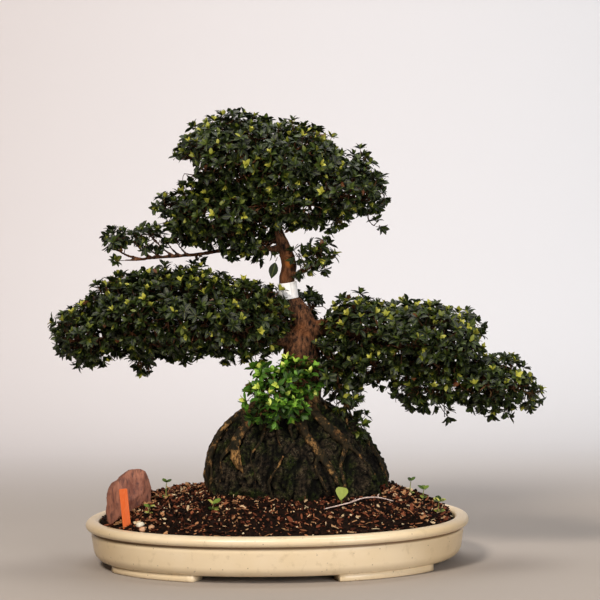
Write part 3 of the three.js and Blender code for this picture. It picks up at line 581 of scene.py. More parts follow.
TRUNK = [
    (38, -6, 232), (40, -6, 290), (46, -4, 340), (50, 0, 365), (42, 0, 389), (27, 0, 410), (23, -1, 437),
    (27, -2, 463), (21, -2, 487), (11, -1, 512), (0, 0, 548), (-12, 0, 594), (-20, 0, 640),
]
TRUNK_RADII = [36, 33, 27, 20, 15.5, 13, 12, 12, 10.5, 9, 8, 6, 3]
BRANCHES = {
    "right": (
        [(46, 0, 357), (94, -3, 365), (150, -6, 350), (230, -6, 325), (310, 0, 288), (385, 0, 262)],
        [16, 13.5, 10, 7, 5, 2.5],
    ),
    "right_front": ([(150, -6, 350), (195, -35, 345), (240, -60, 330)], [6, 4.5, 2.5]),
    "right_back": ([(140, -4, 352), (190, 30, 348), (235, 55, 330)], [6, 4.5, 2.5]),
    "left": (
        [(44, -4, 340), (0, -14, 352), (-70, -18, 356), (-150, -16, 352), (-230, -12, 345), (-305, -8, 338)],
        [14, 12, 9.5, 7, 5, 2.5],
    ),
    "left_front": ([(-70, -18, 356), (-110, -50, 352), (-165, -75, 342)], [5.5, 4, 2.5]),
    "left_back": ([(-60, -16, 356), (-110, 20, 354), (-160, 50, 345)], [5.5, 4, 2.5]),
    "back": ([(44, 2, 372), (38, 45, 366), (16, 100, 358), (0, 135, 352)], [10, 7, 5, 2.5]),
    "back_tuft": ([(46, 6, 384), (53, 34, 388), (60, 58, 394)], [5, 3.5, 2]),
    "cascade": ([(38, -20, 302), (32, -50, 294), (20, -74, 274), (10, -88, 254)], [8, 5.5, 4, 2]),
    "tuft": ([(25, -6, 448), (48, -22, 452), (70, -30, 466)], [4.5, 3, 2]),
    "low": (
        [
            (21, -2, 486), (-17, -6, 490), (-46, -8, 486), (-80, -8, 487), (-116, -4, 482), (-184, 0, 478),
            (-211, 0, 475), (-242, 0, 474),
        ],
        [5, 4, 3.6, 3.2, 3, 2.6, 2.2, 1.5],
    ),
    "low_spur": ([(-205, 0, 476), (-228, 6, 482), (-246, 8, 492)], [2.4, 2, 1.4]),
    "tier": ([(6, 0, 530), (-50, -10, 548), (-105, -8, 556), (-150, -4, 560)], [6, 4.5, 3.5, 2]),
    "crown_right": ([(0, 0, 545), (55, 8, 560), (110, 8, 568), (150, 5, 560)], [6.5, 5, 3.6, 2]),
    "crown_left": ([(-10, 0, 590), (-55, -8, 622), (-95, -10, 636)], [5.5, 4, 2]),
    "crown_front": ([(-6, 0, 570), (-10, -35, 600), (-15, -60, 620)], [5, 3.5, 2]),
    "crown_back": ([(-6, 0, 570), (0, 35, 595), (5, 60, 610)], [5, 3.5, 2]),
    "skirt": ([(58, 0, 302), (84, -8, 290), (108, -8, 264)], [8, 5, 3]),
    "twig_1": ([(-128, -2, 480), (-140, -5, 490), (-150, -8, 506)], [2, 1.7, 1.4]),
    "twig_2": ([(-140, 0, 479), (-155, 3, 489), (-166, 6, 504)], [2, 1.7, 1.4]),
    "twig_3": ([(-152, 0, 479), (-168, -3, 490), (-180, -6, 503)], [2, 1.7, 1.4]),
    "twig_4": ([(-172, 0, 478), (-188, 2, 488), (-198, 5, 502)], [2, 1.7, 1.4]),
    "twig_5": ([(-188, 0, 478), (-203, -2, 489), (-214, -5, 502)], [2, 1.7, 1.4]),
    "looped_twig": (
        [(138, 0, 556), (150, -3, 544), (152, -4, 532), (160, -4, 522), (176, -4, 518)],
        [2.2, 1.8, 1.5, 1.3, 1],
    ),
    "leaf_stalk": ([(20, -4, 478), (11, -9, 477), (6.5, -10.4, 468)], [1.6, 1.3, 1.1]),
}
# Each root as compass angles and heights on the rock, then its radii; the last few are thin rootlets.
ROOTS = [
    ([(-70, 250), (-84, 226), (-90, 190), (-92, 150), (-96, 112), (-96, 92)], [10, 6, 5, 4.5, 4.5, 4]),
    (
        [(-52, 250), (-66, 222), (-64, 196), (-58, 168), (-60, 134), (-58, 104), (-58, 90)],
        [11, 6, 7, 8, 6, 4, 3],
    ),
    ([(-30, 250), (-36, 222), (-38, 196), (-33, 172), (-28, 150)], [9, 8, 10, 8, 2]),
    ([(-1, 178), (-6, 158), (-13, 138), (-13, 118), (-12, 98)], [2, 3.2, 3, 3, 2.5]),
    ([(14, 254), (14, 226), (17, 206), (24, 180), (28, 152), (29, 132)], [14, 9, 8, 8, 5, 2]),
    (
        [(40, 254), (36, 228), (42, 204), (44, 188), (36, 160), (33, 134), (32, 112), (32, 94)],
        [12, 7, 8, 9, 5, 4.5, 4, 3],
    ),
    ([(66, 246), (84, 214), (90, 180), (92, 140), (92, 106), (92, 92)], [11, 6, 5, 5, 4.5, 4]),
    ([(118, 250), (124, 222), (120, 184), (128, 142), (126, 106), (126, 92)], [12, 8, 7, 6, 5, 4]),
    ([(170, 252), (176, 222), (168, 186), (178, 144), (174, 104), (174, 92)], [13, 9, 8, 7, 5, 4]),
    ([(-116, 250), (-122, 222), (-118, 186), (-126, 142), (-122, 104), (-122, 92)], [12, 8, 7, 6, 5, 4]),
    ([(-60, 200), (-70, 175), (-72, 140), (-68, 110), (-68, 92)], [5, 4.5, 4, 3.5, 3]),
    ([(-5, 250), (-8, 226), (-6, 204), (-2, 186)], [7, 4, 2.4, 1]),
    ([(46, 190), (52, 168), (58, 142)], [4, 3, 1.2]),
    ([(24, 180), (19, 160), (20, 140), (22, 122)], [5, 4, 3, 1.4]),
    ([(-38, 196), (-46, 172), (-45, 148), (-49, 120)], [4, 3.2, 2.6, 1.5]),
    ([(-64, 196), (-56, 176), (-52, 150), (-53, 124), (-50, 98)], [4, 3, 3.4, 2.6, 2]),
    ([(-92, 190), (-82, 168), (-83, 140), (-78, 112)], [4, 3.6, 3, 2]),
    ([(-22, 222), (-20, 200), (-24, 176), (-21, 150), (-23, 124)], [3, 2.6, 2.2, 2, 1.2]),
    ([(6, 240), (4, 214), (8, 190)], [5, 3, 1]),
    ([(-13, 118), (-19, 108), (-22, 96)], [2.4, 2, 1.6]),
]


def fused(name, parts, material, voxel):
    """One skin over overlapping rods, as wood grows together where it meets."""
    points, faces = gather(parts)
    raw = make_object(name + "_raw", points, faces, material)
    remesh = raw.modifiers.new("fuse", "REMESH")
    remesh.mode, remesh.voxel_size, remesh.use_smooth_shade = "VOXEL", voxel * MM, True
    soften = raw.modifiers.new("soften", "SMOOTH")
    soften.factor, soften.iterations = 0.5, 2
    thin = raw.modifiers.new("thin", "DECIMATE")
    thin.ratio = 0.5
    bpy.context.view_layer.update()
    mesh = bpy.data.meshes.new_from_object(raw.evaluated_get(bpy.context.evaluated_depsgraph_get()))
    mesh.name = name
    bpy.data.objects.remove(raw)
    made = bpy.data.objects.new(name, mesh)
    bpy.context.scene.collection.objects.link(made)
    return made


def shift_points(made, change):
    """Moves each point of a mesh along its normal by change(points in millimetres)."""
    mesh = made.data
    co, normal = np.empty(len(mesh.vertices) * 3), np.empty(len(mesh.vertices) * 3)
    mesh.vertices.foreach_get("co", co)
    mesh.vertex_normals.foreach_get("vector", normal)
    co, normal = co.reshape(-1, 3), normal.reshape(-1, 3)
    local = (co - MIDDLE) / MM
    co += normal * (change(local) * MM)[:, None]
    mesh.vertices.foreach_set("co", co.ravel())
    mesh.update()


def near_point(tree, coords, point, close, far, most):
    """A share that falls from most to 0 as the distance to a point in millimetres grows from close to far."""
    gap = add(tree, "VectorMath", {0: coords, 1: tuple(at(point))}, operation="DISTANCE").outputs["Value"]
    return remap(tree, gap, close * MM, far * MM, most, 0.0)


bark, tree, coords = new_material("azalea_bark")
upright = add(tree, "Mapping", {"Vector": coords, "Scale": (1.0, 1.0, 0.3)}).outputs["Vector"]
fissures = grains(tree, upright, 0.005, 10.0, 0.74)
young_bark = tones(tree, fissures, [(0.42, "#0a0605"), (0.64, "#7d5439")])
old_bark = tones(tree, fissures, [(0.42, "#0e0805"), (0.62, "#cf9f62")])
height = add(tree, "SeparateXYZ", {"Vector": coords}).outputs["Z"]
low_down = remap(tree, height, 0.235, 0.29, 1.0, 0.0, interpolation_type="SMOOTHSTEP")
shade = mix(tree, low_down, young_bark, old_bark)
shade = mix(tree, remap(tree, grains(tree, coords, 0.03, 4.0), 0.5, 0.66, 0.0, 0.35), shade, "#86502a")
# Moss and damp darken the old roots, except at six spots left pale as painted highlights.
painted_highlights = 0.0
for x, y, z, reach in (
    (-52, -95, 168, 26), (-57, -97, 147, 20), (87, -108, 199, 26), (105, -104, 201, 24), (99, -95, 220, 24),
    (36, -110, 160, 30),
):
    painted_highlights = math_node(tree, "MAXIMUM", painted_highlights, near_point(tree, coords, (x, y, z), 0.5 * reach, reach, 1.0))
cover = grains(tree, coords, 0.016, 6.0, 0.7)
cover = math_node(tree, "SUBTRACT", cover, math_node(tree, "MULTIPLY", painted_highlights, -0.16))
damp = math_node(tree, "MULTIPLY", remap(tree, cover, 0.66, 0.52, 0.0, 0.95), low_down)
shade = mix(tree, damp, shade, "#11130a")
shade = mix(tree, near_point(tree, coords, (29, -13, 467), 3, 9, 0.8), shade, "#b06a2c")
surface(tree, shade, 0.82, relief(tree, fissures, 0.9, 0.0025), specular=0.2)

ROOT_SIDES, ROOT_FLATTENING = 12, 0.4
parts = [tube(TRUNK, TRUNK_RADII, 24, 8, 0.05)]
parts += [tube(line, radii, 10, 6, 0.06, i) for i, (line, radii) in enumerate(BRANCHES.values())]
for i, (path, radii) in enumerate(ROOTS):
    line = []
    for angle, height_on_rock in path:
        point, way = on_rock(angle, height_on_rock)
        line.append(point + way * 0.3)
    swollen = radii * random.uniform(0.6, 1.35, len(radii))
    rod, faces = tube(line, swollen, ROOT_SIDES, 7, 0.3, i)
    rings = rod.reshape(-1, ROOT_SIDES, 3)
    middles = rings.mean(axis=1, keepdims=True)
    out = (middles - ROCK_CENTRE) * [1, 1, 0.3]
    out /= np.linalg.norm(out, axis=2, keepdims=True)
    depth = ((rings - middles) * out).sum(axis=2, keepdims=True)
    parts.append(((rings - ROOT_FLATTENING * depth * out).reshape(-1, 3), faces))
wood = fused("azalea_wood", parts, bark, 1.7)
shift_points(wood, lambda p: (1.1 * crumble(p * [1, 1, 0.35], 7, 5) + 0.5 * crumble(p * [1, 1, 0.4], 3.4, 6))
             * np.clip(1.3 - (p[:, 2] - 250) / 300, 0.25, 1))
ride(wood, "azalea_bark", "wood")

# Foliage
# Small evergreen leaves, glossy and dark with lighter young ones in the middle of each whorl, at the ends of
# fine twigs. The pads are clipped into flat clouds, so the leaves lie in a shell round them and the inside
# is dim.
PADS = {
    "foliage_crown": [
        (-55, 0, 628, 95, 104, 76), (30, 4, 612, 88, 110, 74), (110, 0, 578, 76, 90, 47),
        (33, -2, 556, 85, 100, 37),
        (-76, -2, 544, 90, 98, 52), (-145, 0, 559, 46, 52, 22), (-36, -2, 495, 46, 56, 24),
        (138, 4, 615, 31, 44, 24),
        (103, -6, 529, 23, 30, 19), (165, -4, 523, 15, 16, 11),
    ],
    "foliage_low_left": [
        (-240, 0, 505, 31, 34, 22), (-245, 0, 474, 9, 11, 8), (-188, 0, 511, 35, 42, 19),
        (-138, 0, 518, 34, 46, 23),
        (-117, 2, 476, 12, 16, 14),
    ],
    "foliage_left": [
        (-150, -8, 391, 132, 122, 74), (-284, -8, 362, 60, 84, 50), (-224, -6, 396, 74, 94, 62),
        (-48, -16, 380, 82, 96, 64), (-204, -24, 314, 22, 36, 25),
    ],
    "foliage_right": [
        (142, -4, 366, 66, 86, 48), (214, -4, 347, 86, 96, 63), (266, -4, 326, 62, 84, 68),
        (334, -3, 274, 73, 76, 43),
        (238, -5, 276, 60, 73, 41), (386, 0, 263, 34, 50, 28), (150, -4, 312, 56, 74, 38),
        (301, 0, 368, 26, 50, 23),
        (342, 3, 299, 44, 56, 23), (267, -10, 232, 14, 18, 12), (361, -6, 223, 9, 14, 12),
    ],
    "foliage_mid_tuft": [(75, -32, 476, 31, 36, 29), (51, -28, 459, 17, 20, 15), (46, -26, 481, 17, 20, 18)],
    "foliage_back": [(-22, 122, 366, 62, 52, 46)],
    "foliage_back_tuft": [(53, 60, 403, 27, 30, 27), (36, 50, 412, 16, 20, 14)],
    "foliage_trunk_side": [
        (72, -24, 296, 22, 30, 26), (96, -16, 298, 34, 52, 36), (110, -8, 256, 30, 44, 34),
        (83, -16, 331, 22, 40, 28),
    ],
    "foliage_cascade": [
        (13, -84, 250, 52, 32, 31), (34, -64, 292, 46, 40, 34), (4, -68, 276, 34, 32, 28),
        (-24, -76, 263, 21, 30, 25),
        (-9, -66, 298, 18, 30, 21),
    ],
    "foliage_rock_tuft": [(136, -38, 215, 22, 20, 23), (122, -46, 204, 13, 13, 13)],
}
# Open air that runs through a pad from front to back, as the middle and the reach along X and Z.
OPENINGS = {"foliage_crown": [(-140, 616, 42, 17)]}
PAD_LIMBS = {
    "foliage_crown": (
        "tier", "crown_right", "crown_left", "crown_front", "crown_back", "looped_twig", "trunk",
    ),
    "foliage_low_left": ("low", "low_spur", "twig_1", "twig_2", "twig_3", "twig_4", "twig_5"),
    "foliage_left": ("left", "left_front", "left_back"),
    "foliage_right": ("right", "right_front", "right_back"),
    "foliage_mid_tuft": ("tuft",),
    "foliage_back": ("back",),
    "foliage_back_tuft": ("back_tuft",),
    "foliage_trunk_side": ("skirt",),
    "foliage_cascade": ("cascade",),
    "foliage_rock_tuft": ("skirt",),
}

# One leaf, one unit long: its base, stations with left edge, midrib and right edge, and the tip. The leaves
# deep inside a pad have fewer stations.


def leaf_shape(stations):
    points, flat = [(0, 0, 0)], [(0.5, 0)]
    for along, wide in stations:
        for side, across in ((-1, 0.0), (0, 0.5), (1, 1.0)):
            points.append((along, side * wide / 2, (0.07 if side else 0.0) - 0.16 * along * along))
            flat.append((across, along))
    points.append((1, 0, -0.2))
    flat.append((0.5, 1))
    faces = [(0, 2, 1), (0, 3, 2)]
    for i in range(1, 3 * len(stations) - 2, 3):
        for j in (i, i + 1):
            faces += [(j, j + 1, j + 4), (j, j + 4, j + 3)]
    tip = len(points) - 1
    faces += [(tip - 3, tip - 2, tip), (tip - 2, tip - 1, tip)]
    return np.array(points, float), np.array(flat, float), np.array(faces)


FULL_LEAF = leaf_shape([(0.22, 0.36), (0.52, 0.54), (0.8, 0.36)])
PLAIN_LEAF = leaf_shape([(0.5, 0.56)])


def unit(vectors):
    return vectors / np.maximum(np.linalg.norm(vectors, axis=-1, keepdims=True), 1e-9)


MOST_WHORLS, KEPT_UNDER = 4000, 0.9


def shell_points(lobes, inset, spacing, rng):
    """Points spread over the union of the lobes at a depth below the tips, with the way out at each."""
    sizes = np.array([[max(size - inset, 0.5 * size) for size in lobe[3:]] for lobe in lobes])
    centres = np.array([lobe[:3] for lobe in lobes], float)
    areas = np.array([(a * b) ** 0.8 + (a * c) ** 0.8 + (b * c) ** 0.8 for a, b, c in sizes]) ** 1.25
    tries = int(areas.sum() * 4.2 / spacing ** 2 * 9)
    pick = rng.choice(len(lobes), tries, p=areas / areas.sum())
    way = unit(rng.normal(size=(tries, 3)))
    spots = centres[pick] + way * sizes[pick]
    normal = unit(way / sizes[pick])
    keep = np.ones(tries, bool)
    for i in range(len(lobes)):
        inside = (((spots - centres[i]) / sizes[i]) ** 2).sum(axis=1) < 0.98
        keep &= ~(inside & (pick != i))
    keep &= (normal[:, 2] > -0.35) | (rng.random(tries) < KEPT_UNDER)
    spots, normal = spots[keep], normal[keep]
    cells, chosen = {}, []
    for n, spot in enumerate(spots):
        cell = tuple((spot // spacing).astype(int))
        near = [
            m for dx in (-1, 0, 1) for dy in (-1, 0, 1) for dz in (-1, 0, 1)
            for m in cells.get((cell[0] + dx, cell[1] + dy, cell[2] + dz), ())
        ]
        if near and min(((spots[near] - spot) ** 2).sum(axis=1)) < spacing ** 2:
            continue
        cells.setdefault(cell, []).append(n)
        chosen.append(n)
        if len(chosen) >= MOST_WHORLS:
            break
    return spots[chosen], normal[chosen]


def whorls(spots, axes, rng, length, young):
    """Leaves in whorls: places, length ways, upward ways, lengths and tones, one row per leaf."""
    base, ahead, upward, size, tone = [], [], [], [], []
    fresh = rng.random(len(spots)) < 0.34
    mood = rng.normal(0, 0.07, len(spots)) + 0.22 * fresh
    for ring, count, low, high, scale in ((0, 6, 44, 92, 1.0), (1, 4, 12, 42, 0.76)):
        for k in range(count):
            n = len(spots)
            keep = rng.random(n) < (0.94 if ring == 0 else 0.8)
            turn = (k + rng.uniform(-0.3, 0.3, n) + ring * 0.5) / count * 2 * math.pi + mood * 30
            side = unit(np.cross(axes, np.array([0.31, 0.62, 0.72]) + axes[:, ::-1] * 0.2))
            other = np.cross(axes, side)
            radial = side * np.cos(turn)[:, None] + other * np.sin(turn)[:, None]
            lean = np.radians(rng.uniform(low, high, n) * np.where(axes[:, 2] < -0.1, 0.6, 1.0))[:, None]
            out = axes * np.cos(lean) + radial * np.sin(lean)
            top = axes * np.sin(lean) - radial * np.cos(lean)
            top = unit(top + rng.normal(0, 0.22, (n, 3)))
            base.append(spots[keep] + out[keep] * 0.8)
            ahead.append(out[keep])
            upward.append(top[keep])
            size.append((length * scale * rng.uniform(0.78, 1.15, n))[keep])
            fresh_share = np.where(fresh, 1.0, 0.6)
            shade = mood + rng.normal(0, 0.07, n) + (0.16 if ring == 0 else 0.2 + young * fresh_share)
            red = rng.random(n) < 0.006
            tone.append(np.where(red, 1.3, np.clip(shade, 0, 1))[keep])
    return [np.concatenate(x) for x in (base, ahead, upward, size, tone)]


def leaf_mesh(name, rows, material, shape):
    """All the leaves of a pad as one mesh, with their tone and their own across and along coordinates."""
    base, ahead, upward, size, tone = rows
    leaf, flat, leaf_faces = shape
    side = unit(np.cross(upward, ahead))
    upward = np.cross(ahead, side)
    x, y, z = (leaf[:, i][None, :, None] for i in range(3))
    points = x * ahead[:, None] + y * side[:, None] + z * upward[:, None]
    points = base[:, None, :] + size[:, None, None] * points
    count = len(base)
    mesh = bpy.data.meshes.new(name)
    mesh.vertices.add(count * len(leaf))
    mesh.vertices.foreach_set("co", at(points.reshape(-1, 3)).astype(np.float32).ravel())
    corners = (leaf_faces[None] + (np.arange(count) * len(leaf))[:, None, None]).reshape(-1, 3)
    mesh.loops.add(corners.size)
    mesh.loops.foreach_set("vertex_index", corners.ravel().astype(np.int32))
    mesh.polygons.add(len(corners))
    mesh.polygons.foreach_set("loop_start", np.arange(0, corners.size, 3, dtype=np.int32))
    mesh.update(calc_edges=True)
    corner_places = np.tile(flat[leaf_faces.ravel()], (count, 1)).astype(np.float32).ravel()
    mesh.uv_layers.new(name="leaf").data.foreach_set("uv", corner_places)
    paint(mesh, "tone", np.repeat(tone, len(leaf)))
    mesh.polygons.foreach_set("use_smooth", np.ones(len(corners), bool))
    mesh.materials.append(material)
    mesh.update()
    made = bpy.data.objects.new(name, mesh)
    bpy.context.scene.collection.objects.link(made)
    return made


def leaf_material(name, stops, roughness):
    """A waxy leaf: its colour by tone, a paler midrib and a shallow relief of side veins."""
    made, tree, coords = new_material(name)
    tone = add(tree, "Attribute", attribute_name="tone").outputs["Fac"]
    shade = mix(tree, math_node(tree, "GREATER_THAN", tone, 1.15), tones(tree, tone, stops), "#5f3420")
    places = add(tree, "SeparateXYZ", {"Vector": add(tree, "UVMap", uv_map="leaf").outputs["UV"]})
    off_rib = off(tree, places.outputs["X"], 0.5)
    rib = remap(tree, off_rib, 0.02, 0.09, 0.28, 0.0)
    shade = mix(tree, rib, shade, "#8c9a48")
    slant = math_node(tree, "SUBTRACT", places.outputs["Y"], off_rib)
    veins = math_node(tree, "SINE", math_node(tree, "MULTIPLY", slant, 44.0))
    shade = mix(tree, 0.3, shade, grains(tree, coords, 0.004, 2.0), blend_type="OVERLAY")
    height = math_node(tree, "ADD", veins, math_node(tree, "MULTIPLY", rib, -6.0))
    surface(tree, shade, roughness, relief(tree, height, 0.25, 0.0002), ior=1.45)
    return made


dark_leaf = leaf_material("azalea_leaf_cuticle", [
    (0.0, "#0a1206"), (0.3, "#16250a"), (0.55, "#354511"), (0.78, "#737c26"), (1.0, "#b2b147"),
], 0.47)
bright_leaf = leaf_material("azalea_young_leaf_cuticle", [
    (0.0, "#17300c"), (0.3, "#356014"), (0.55, "#689e2a"), (0.78, "#a6c84a"), (1.0, "#d2e068"),
], 0.47)


def clump(points, size, seed):
    return np.array([noise.noise(Vector(p) / size + Vector((seed * 3.1, seed * 7.7, seed))) for p in points])


def nearest(points, targets):
    """For each point the index of the nearest target."""
    out = np.empty(len(points), int)
    for i in range(0, len(points), 500):
        gaps = ((points[i:i + 500, None] - targets[None]) ** 2).sum(axis=2)
        out[i:i + 500] = gaps.argmin(axis=1)
    return out


LIMB_CURVES = {name: bend(line, radii, 8)[0] for name, (line, radii) in BRANCHES.items()}
LIMB_CURVES["trunk"] = bend(TRUNK, TRUNK_RADII)[0][50:]
# The layers of whorls from the tips inward: depth below the tips, spacing, and how much lighter the young
# leaves are.
LAYERS = ((8, 15.5, 0.5), (17, 15.5, 0.3), (28, 16.0, 0.1), (42, 18.0, 0.0), (58, 21.0, 0.0))
twigs = []
for number, (node, lobes) in enumerate(PADS.items()):
    rng = np.random.default_rng(200 + number)
    cascade = node == "foliage_cascade"
    length = 15.0 if cascade else 14.2
    limb_points = np.concatenate([LIMB_CURVES[name] for name in PAD_LIMBS[node]])

    # Side branches fan out inside the pad from the nearest limb.
    inner = [lobe for lobe in lobes if min(lobe[3:]) > 24]
    ends = shell_points(inner, 22, 30, rng)[0] if inner else np.array([lobe[:3] for lobe in lobes], float)
    stems = [limb_points]
    for end, root in zip(ends, limb_points[nearest(ends, limb_points)]):
        middle = (end + root) / 2 + rng.normal(0, 4, 3) - [0, 0, 0.06 * np.linalg.norm(end - root)]
        twigs.append(tube([root, middle, end], [2.4, 1.6, 1.0], 5, 3))
        stems.append(root + (end - root) * np.linspace(0.35, 1, 6)[:, None])
    stems = np.concatenate(stems)

    rows = [[], []]
    for layer, (inset, spacing, young) in enumerate(LAYERS):
        some = [lobe for lobe in lobes if layer < 2 or 0.85 * min(lobe[3:]) > inset]
        if not some:
            continue
        spots, normal = shell_points(some, inset, spacing, rng)
        lumps = clump(spots * [0.6, 0.6, 1.3], 22, number) * 24
        sprig = (rng.random(len(spots)) < 0.14) * rng.uniform(2, 9, len(spots)) * (layer == 0)
        spots = spots + normal * (np.clip(lumps, -15, 3) + sprig)[:, None]
        for x, z, reach_x, reach_z in OPENINGS.get(node, ()):
            clear = ((spots[:, 0] - x) / reach_x) ** 2 + ((spots[:, 2] - z) / reach_z) ** 2 > 1
            spots, normal = spots[clear], normal[clear]
        lift = np.where(normal[:, 2] > -0.2, 0.55, -0.25)
        axes = unit(normal * 0.8 + lift[:, None] * [0, 0, 1] + rng.normal(0, 0.28, normal.shape))
        young += 0.15 * cascade * (layer == 0)
        rows[layer > 1].append(whorls(spots, axes, rng, length, young))
        for spot, axis, stem in zip(spots, axes, stems[nearest(spots, stems)]):
            if layer < 3 and 4 < np.linalg.norm(spot - stem) < 60:
                middle = spot - axis * 0.35 * np.linalg.norm(spot - stem)
                twigs.append(tube([spot, middle, stem], [0.5, 0.7, 1.0], 3, 2))
    material, slot = (bright_leaf, "young_leaf") if cascade else (dark_leaf, "azalea_leaf")
    for part, ending, shape in ((rows[0], "", FULL_LEAF), (rows[1], "_inner", PLAIN_LEAF)):
        if part:
            part = [np.concatenate(x) for x in zip(*part)]
            pad = leaf_mesh(node.replace("foliage", "leaves") + ending, part, material, shape)
            ride(pad, slot, node)
ride(make_object("azalea_twigs", *gather(twigs), bark), "azalea_bark")

# Hanging leaf
# One older and larger leaf that hangs tip down from a short stalk on the trunk, darker than the young ones.
BIG_LEAF = leaf_shape([(0.1, 0.24), (0.26, 0.46), (0.44, 0.56), (0.62, 0.5), (0.8, 0.3), (0.92, 0.12)])
rows = [np.array(x) for x in (
    [[6.5, -10.4, 468.0]], [[-0.26, -0.05, -0.96]], [[0.1, -1.0, 0.1]], [26.5], [0.32],
)]
ride(leaf_mesh("leaf_hanging", rows, dark_leaf, BIG_LEAF), "azalea_leaf", "hanging_leaf")

# Trunk band
# White cloth tape wound round the trunk under the first fork, its loose end stuck down over the start, with
# a few creases.
BAND_LOW, BAND_HIGH = np.array([26.2, 0.0, 411.0]), np.array([23.2, -1.0, 436.0])
band_axis = BAND_HIGH - BAND_LOW
side = unit(np.cross(band_axis, [0.0, 1.0, 0.0]))
other = unit(np.cross(band_axis, side))
section = [(11.5, 0.0), (14.6, 0.0), (15.0, 0.02)] + [(15.0, t) for t in np.linspace(0.06, 0.94, 16)]
section += [(15.0, 0.98), (14.6, 1.0), (11.5, 1.0)]
laps = np.linspace(0, 1, 97)
points = []
for lap in laps:
    angle = 2 * math.pi * lap + 2.0
    for reach, share in section:
        crease = 0.3 * noise.noise(Vector((math.cos(angle) * 2.2, math.sin(angle) * 2.2, share * 2.0 + lap)))
        reach = reach + (reach > 12) * (0.5 * lap - 0.3 + crease)
        way = math.cos(angle) * side + math.sin(angle) * other
        points.append(BAND_LOW + band_axis * share + reach * way)
n = len(section)
faces = []
for i in range(len(laps)):
    j = (i + 1) % len(laps)
    faces += [(i * n + k, j * n + k, j * n + k + 1, i * n + k + 1) for k in range(n - 1)]
    faces.append((i * n + n - 1, j * n + n - 1, j * n, i * n))
tape, tree, coords = new_material("white_cloth_tape")
shade = mix(tree, remap(tree, grains(tree, coords, 0.012, 5.0), 0.52, 0.75, 0.0, 0.4), "#fafcff", "#d6d0c6")
surface(tree, shade, 0.75, relief(tree, grains(tree, coords, 0.0009, 2.0), 0.4, 0.0004), ior=1.5)
ride(make_object("tape_band", points, faces, tape), "white_tape", "trunk_band")

# Stones
# A split piece of reddish-brown stone set upright at the left end, and three pale pebbles by the rim. Each
# is a ball of points pushed out to its outline and roughened; the stone is also cut by a few flat breaks.
STONE_MIDDLE = np.array([-224.0, -62.0, 106.0])
STONE_OUTLINE = [
    (33, -40), (33.5, 0), (35, 12), (32, 33), (26, 44), (17, 48), (4, 47), (-10, 39), (-18, 31), (-26, 26),
    (-31, 17), (-33, -4), (-34, -26), (-30, -42), (0, -44),
]


def lump(name, outline, middle, depth, cuts, rough, material, subdivisions=5):
    """A stone: its outline from the front, half its depth, and flat breaks as (way out, distance)."""
    ways, faces = ball(subdivisions)
    corners = np.array(outline, float)
    order = np.argsort(np.arctan2(corners[:, 1], corners[:, 0]))
    angles = np.arctan2(corners[order, 1], corners[order, 0])
    reaches = np.hypot(corners[order, 0], corners[order, 1])
    turn = np.arctan2(ways[:, 2], ways[:, 0])
    reach = np.interp(turn, angles, reaches, period=2 * math.pi)
    flat = np.hypot(ways[:, 0], ways[:, 2]) ** 0.7
    points = np.stack([np.cos(turn) * reach * flat, ways[:, 1] * depth, np.sin(turn) * reach * flat], axis=1)
    for out, distance in cuts:
        out = unit(np.array(out, float))
        beyond = np.maximum(points @ out - distance, 0)
        points -= beyond[:, None] * out
    points += ways * (rough * crumble(points, 9 * rough, 8) + 0.35 * rough * crumble(points, 2.5, 9))[:, None]
    return make_object(name, points + middle, faces, material)


def stone_material(name, colours, grain, streak, roughness):
    """Broken stone: two tones in uneven patches, darker streaks along a slanting bed, and a gritty face."""
    made, tree, coords = new_material(name)
    slant = {"Vector": coords, "Rotation": (0.3, 0.5, 0.2), "Scale": (1.0, 1.0, 0.22)}
    bed = add(tree, "Mapping", slant).outputs["Vector"]
    shade = tones(tree, grains(tree, bed, grain, 7.0, 0.7), [(0.36, colours[0]), (0.66, colours[1])])
    lines = grains(tree, bed, grain * 0.3, 3.0)
    shade = mix(tree, remap(tree, lines, 0.5, 0.66, 0.0, streak), shade, colours[2])
    surface(tree, shade, roughness, relief(tree, lines, 0.7, grain * 0.06), ior=1.55)
    return made


red_rock = stone_material("split_red_shale", ("#6b3a2c", "#a8705a", "#45292a"), 0.012, 0.75, 0.8)
STONE_CUTS = [
    ((0.5, -0.8, -0.3), 18), ((-0.42, -0.9, 0.05), 24), ((0.3, -0.9, 0.3), 21), ((-0.72, -0.35, 0.6), 34),
    ((0.8, -0.5, 0.1), 27),
]
stone = lump("shale_stone", STONE_OUTLINE, STONE_MIDDLE, 28, STONE_CUTS, 1.0, red_rock)
ride(stone, "red_stone", "red_stone")
for name, x, y, (reach_x, reach_y, reach_z), colours in (
    ("pebble_white", -196, -128, (7, 6, 5), ("#d9d2bd", "#f3eedd", "#b3a892")),
    ("pebble_tan_left", -190, -142, (6, 5, 4.5), ("#c08a68", "#e5bd99", "#8f5f45")),
    ("pebble_tan_right", -176, -146, (5, 5, 4), ("#a87a5a", "#d9ab84", "#7d523a")),
):
    oval = [(reach_x * math.cos(a), reach_z * math.sin(a)) for a in np.arange(0.1, 6.2, 0.4)]
    middle = [x, y, float(soil_height(x, y)) + 0.8]
    kind = "worn_quartz" if "white" in name else "worn_sandstone_" + name[11:]
    pale = stone_material(kind, colours, 0.005, 0.35, 0.6)
    ride(lump(name + "_worn", oval, middle, reach_y, [], 0.35, pale, 4), "pale_pebble", name)

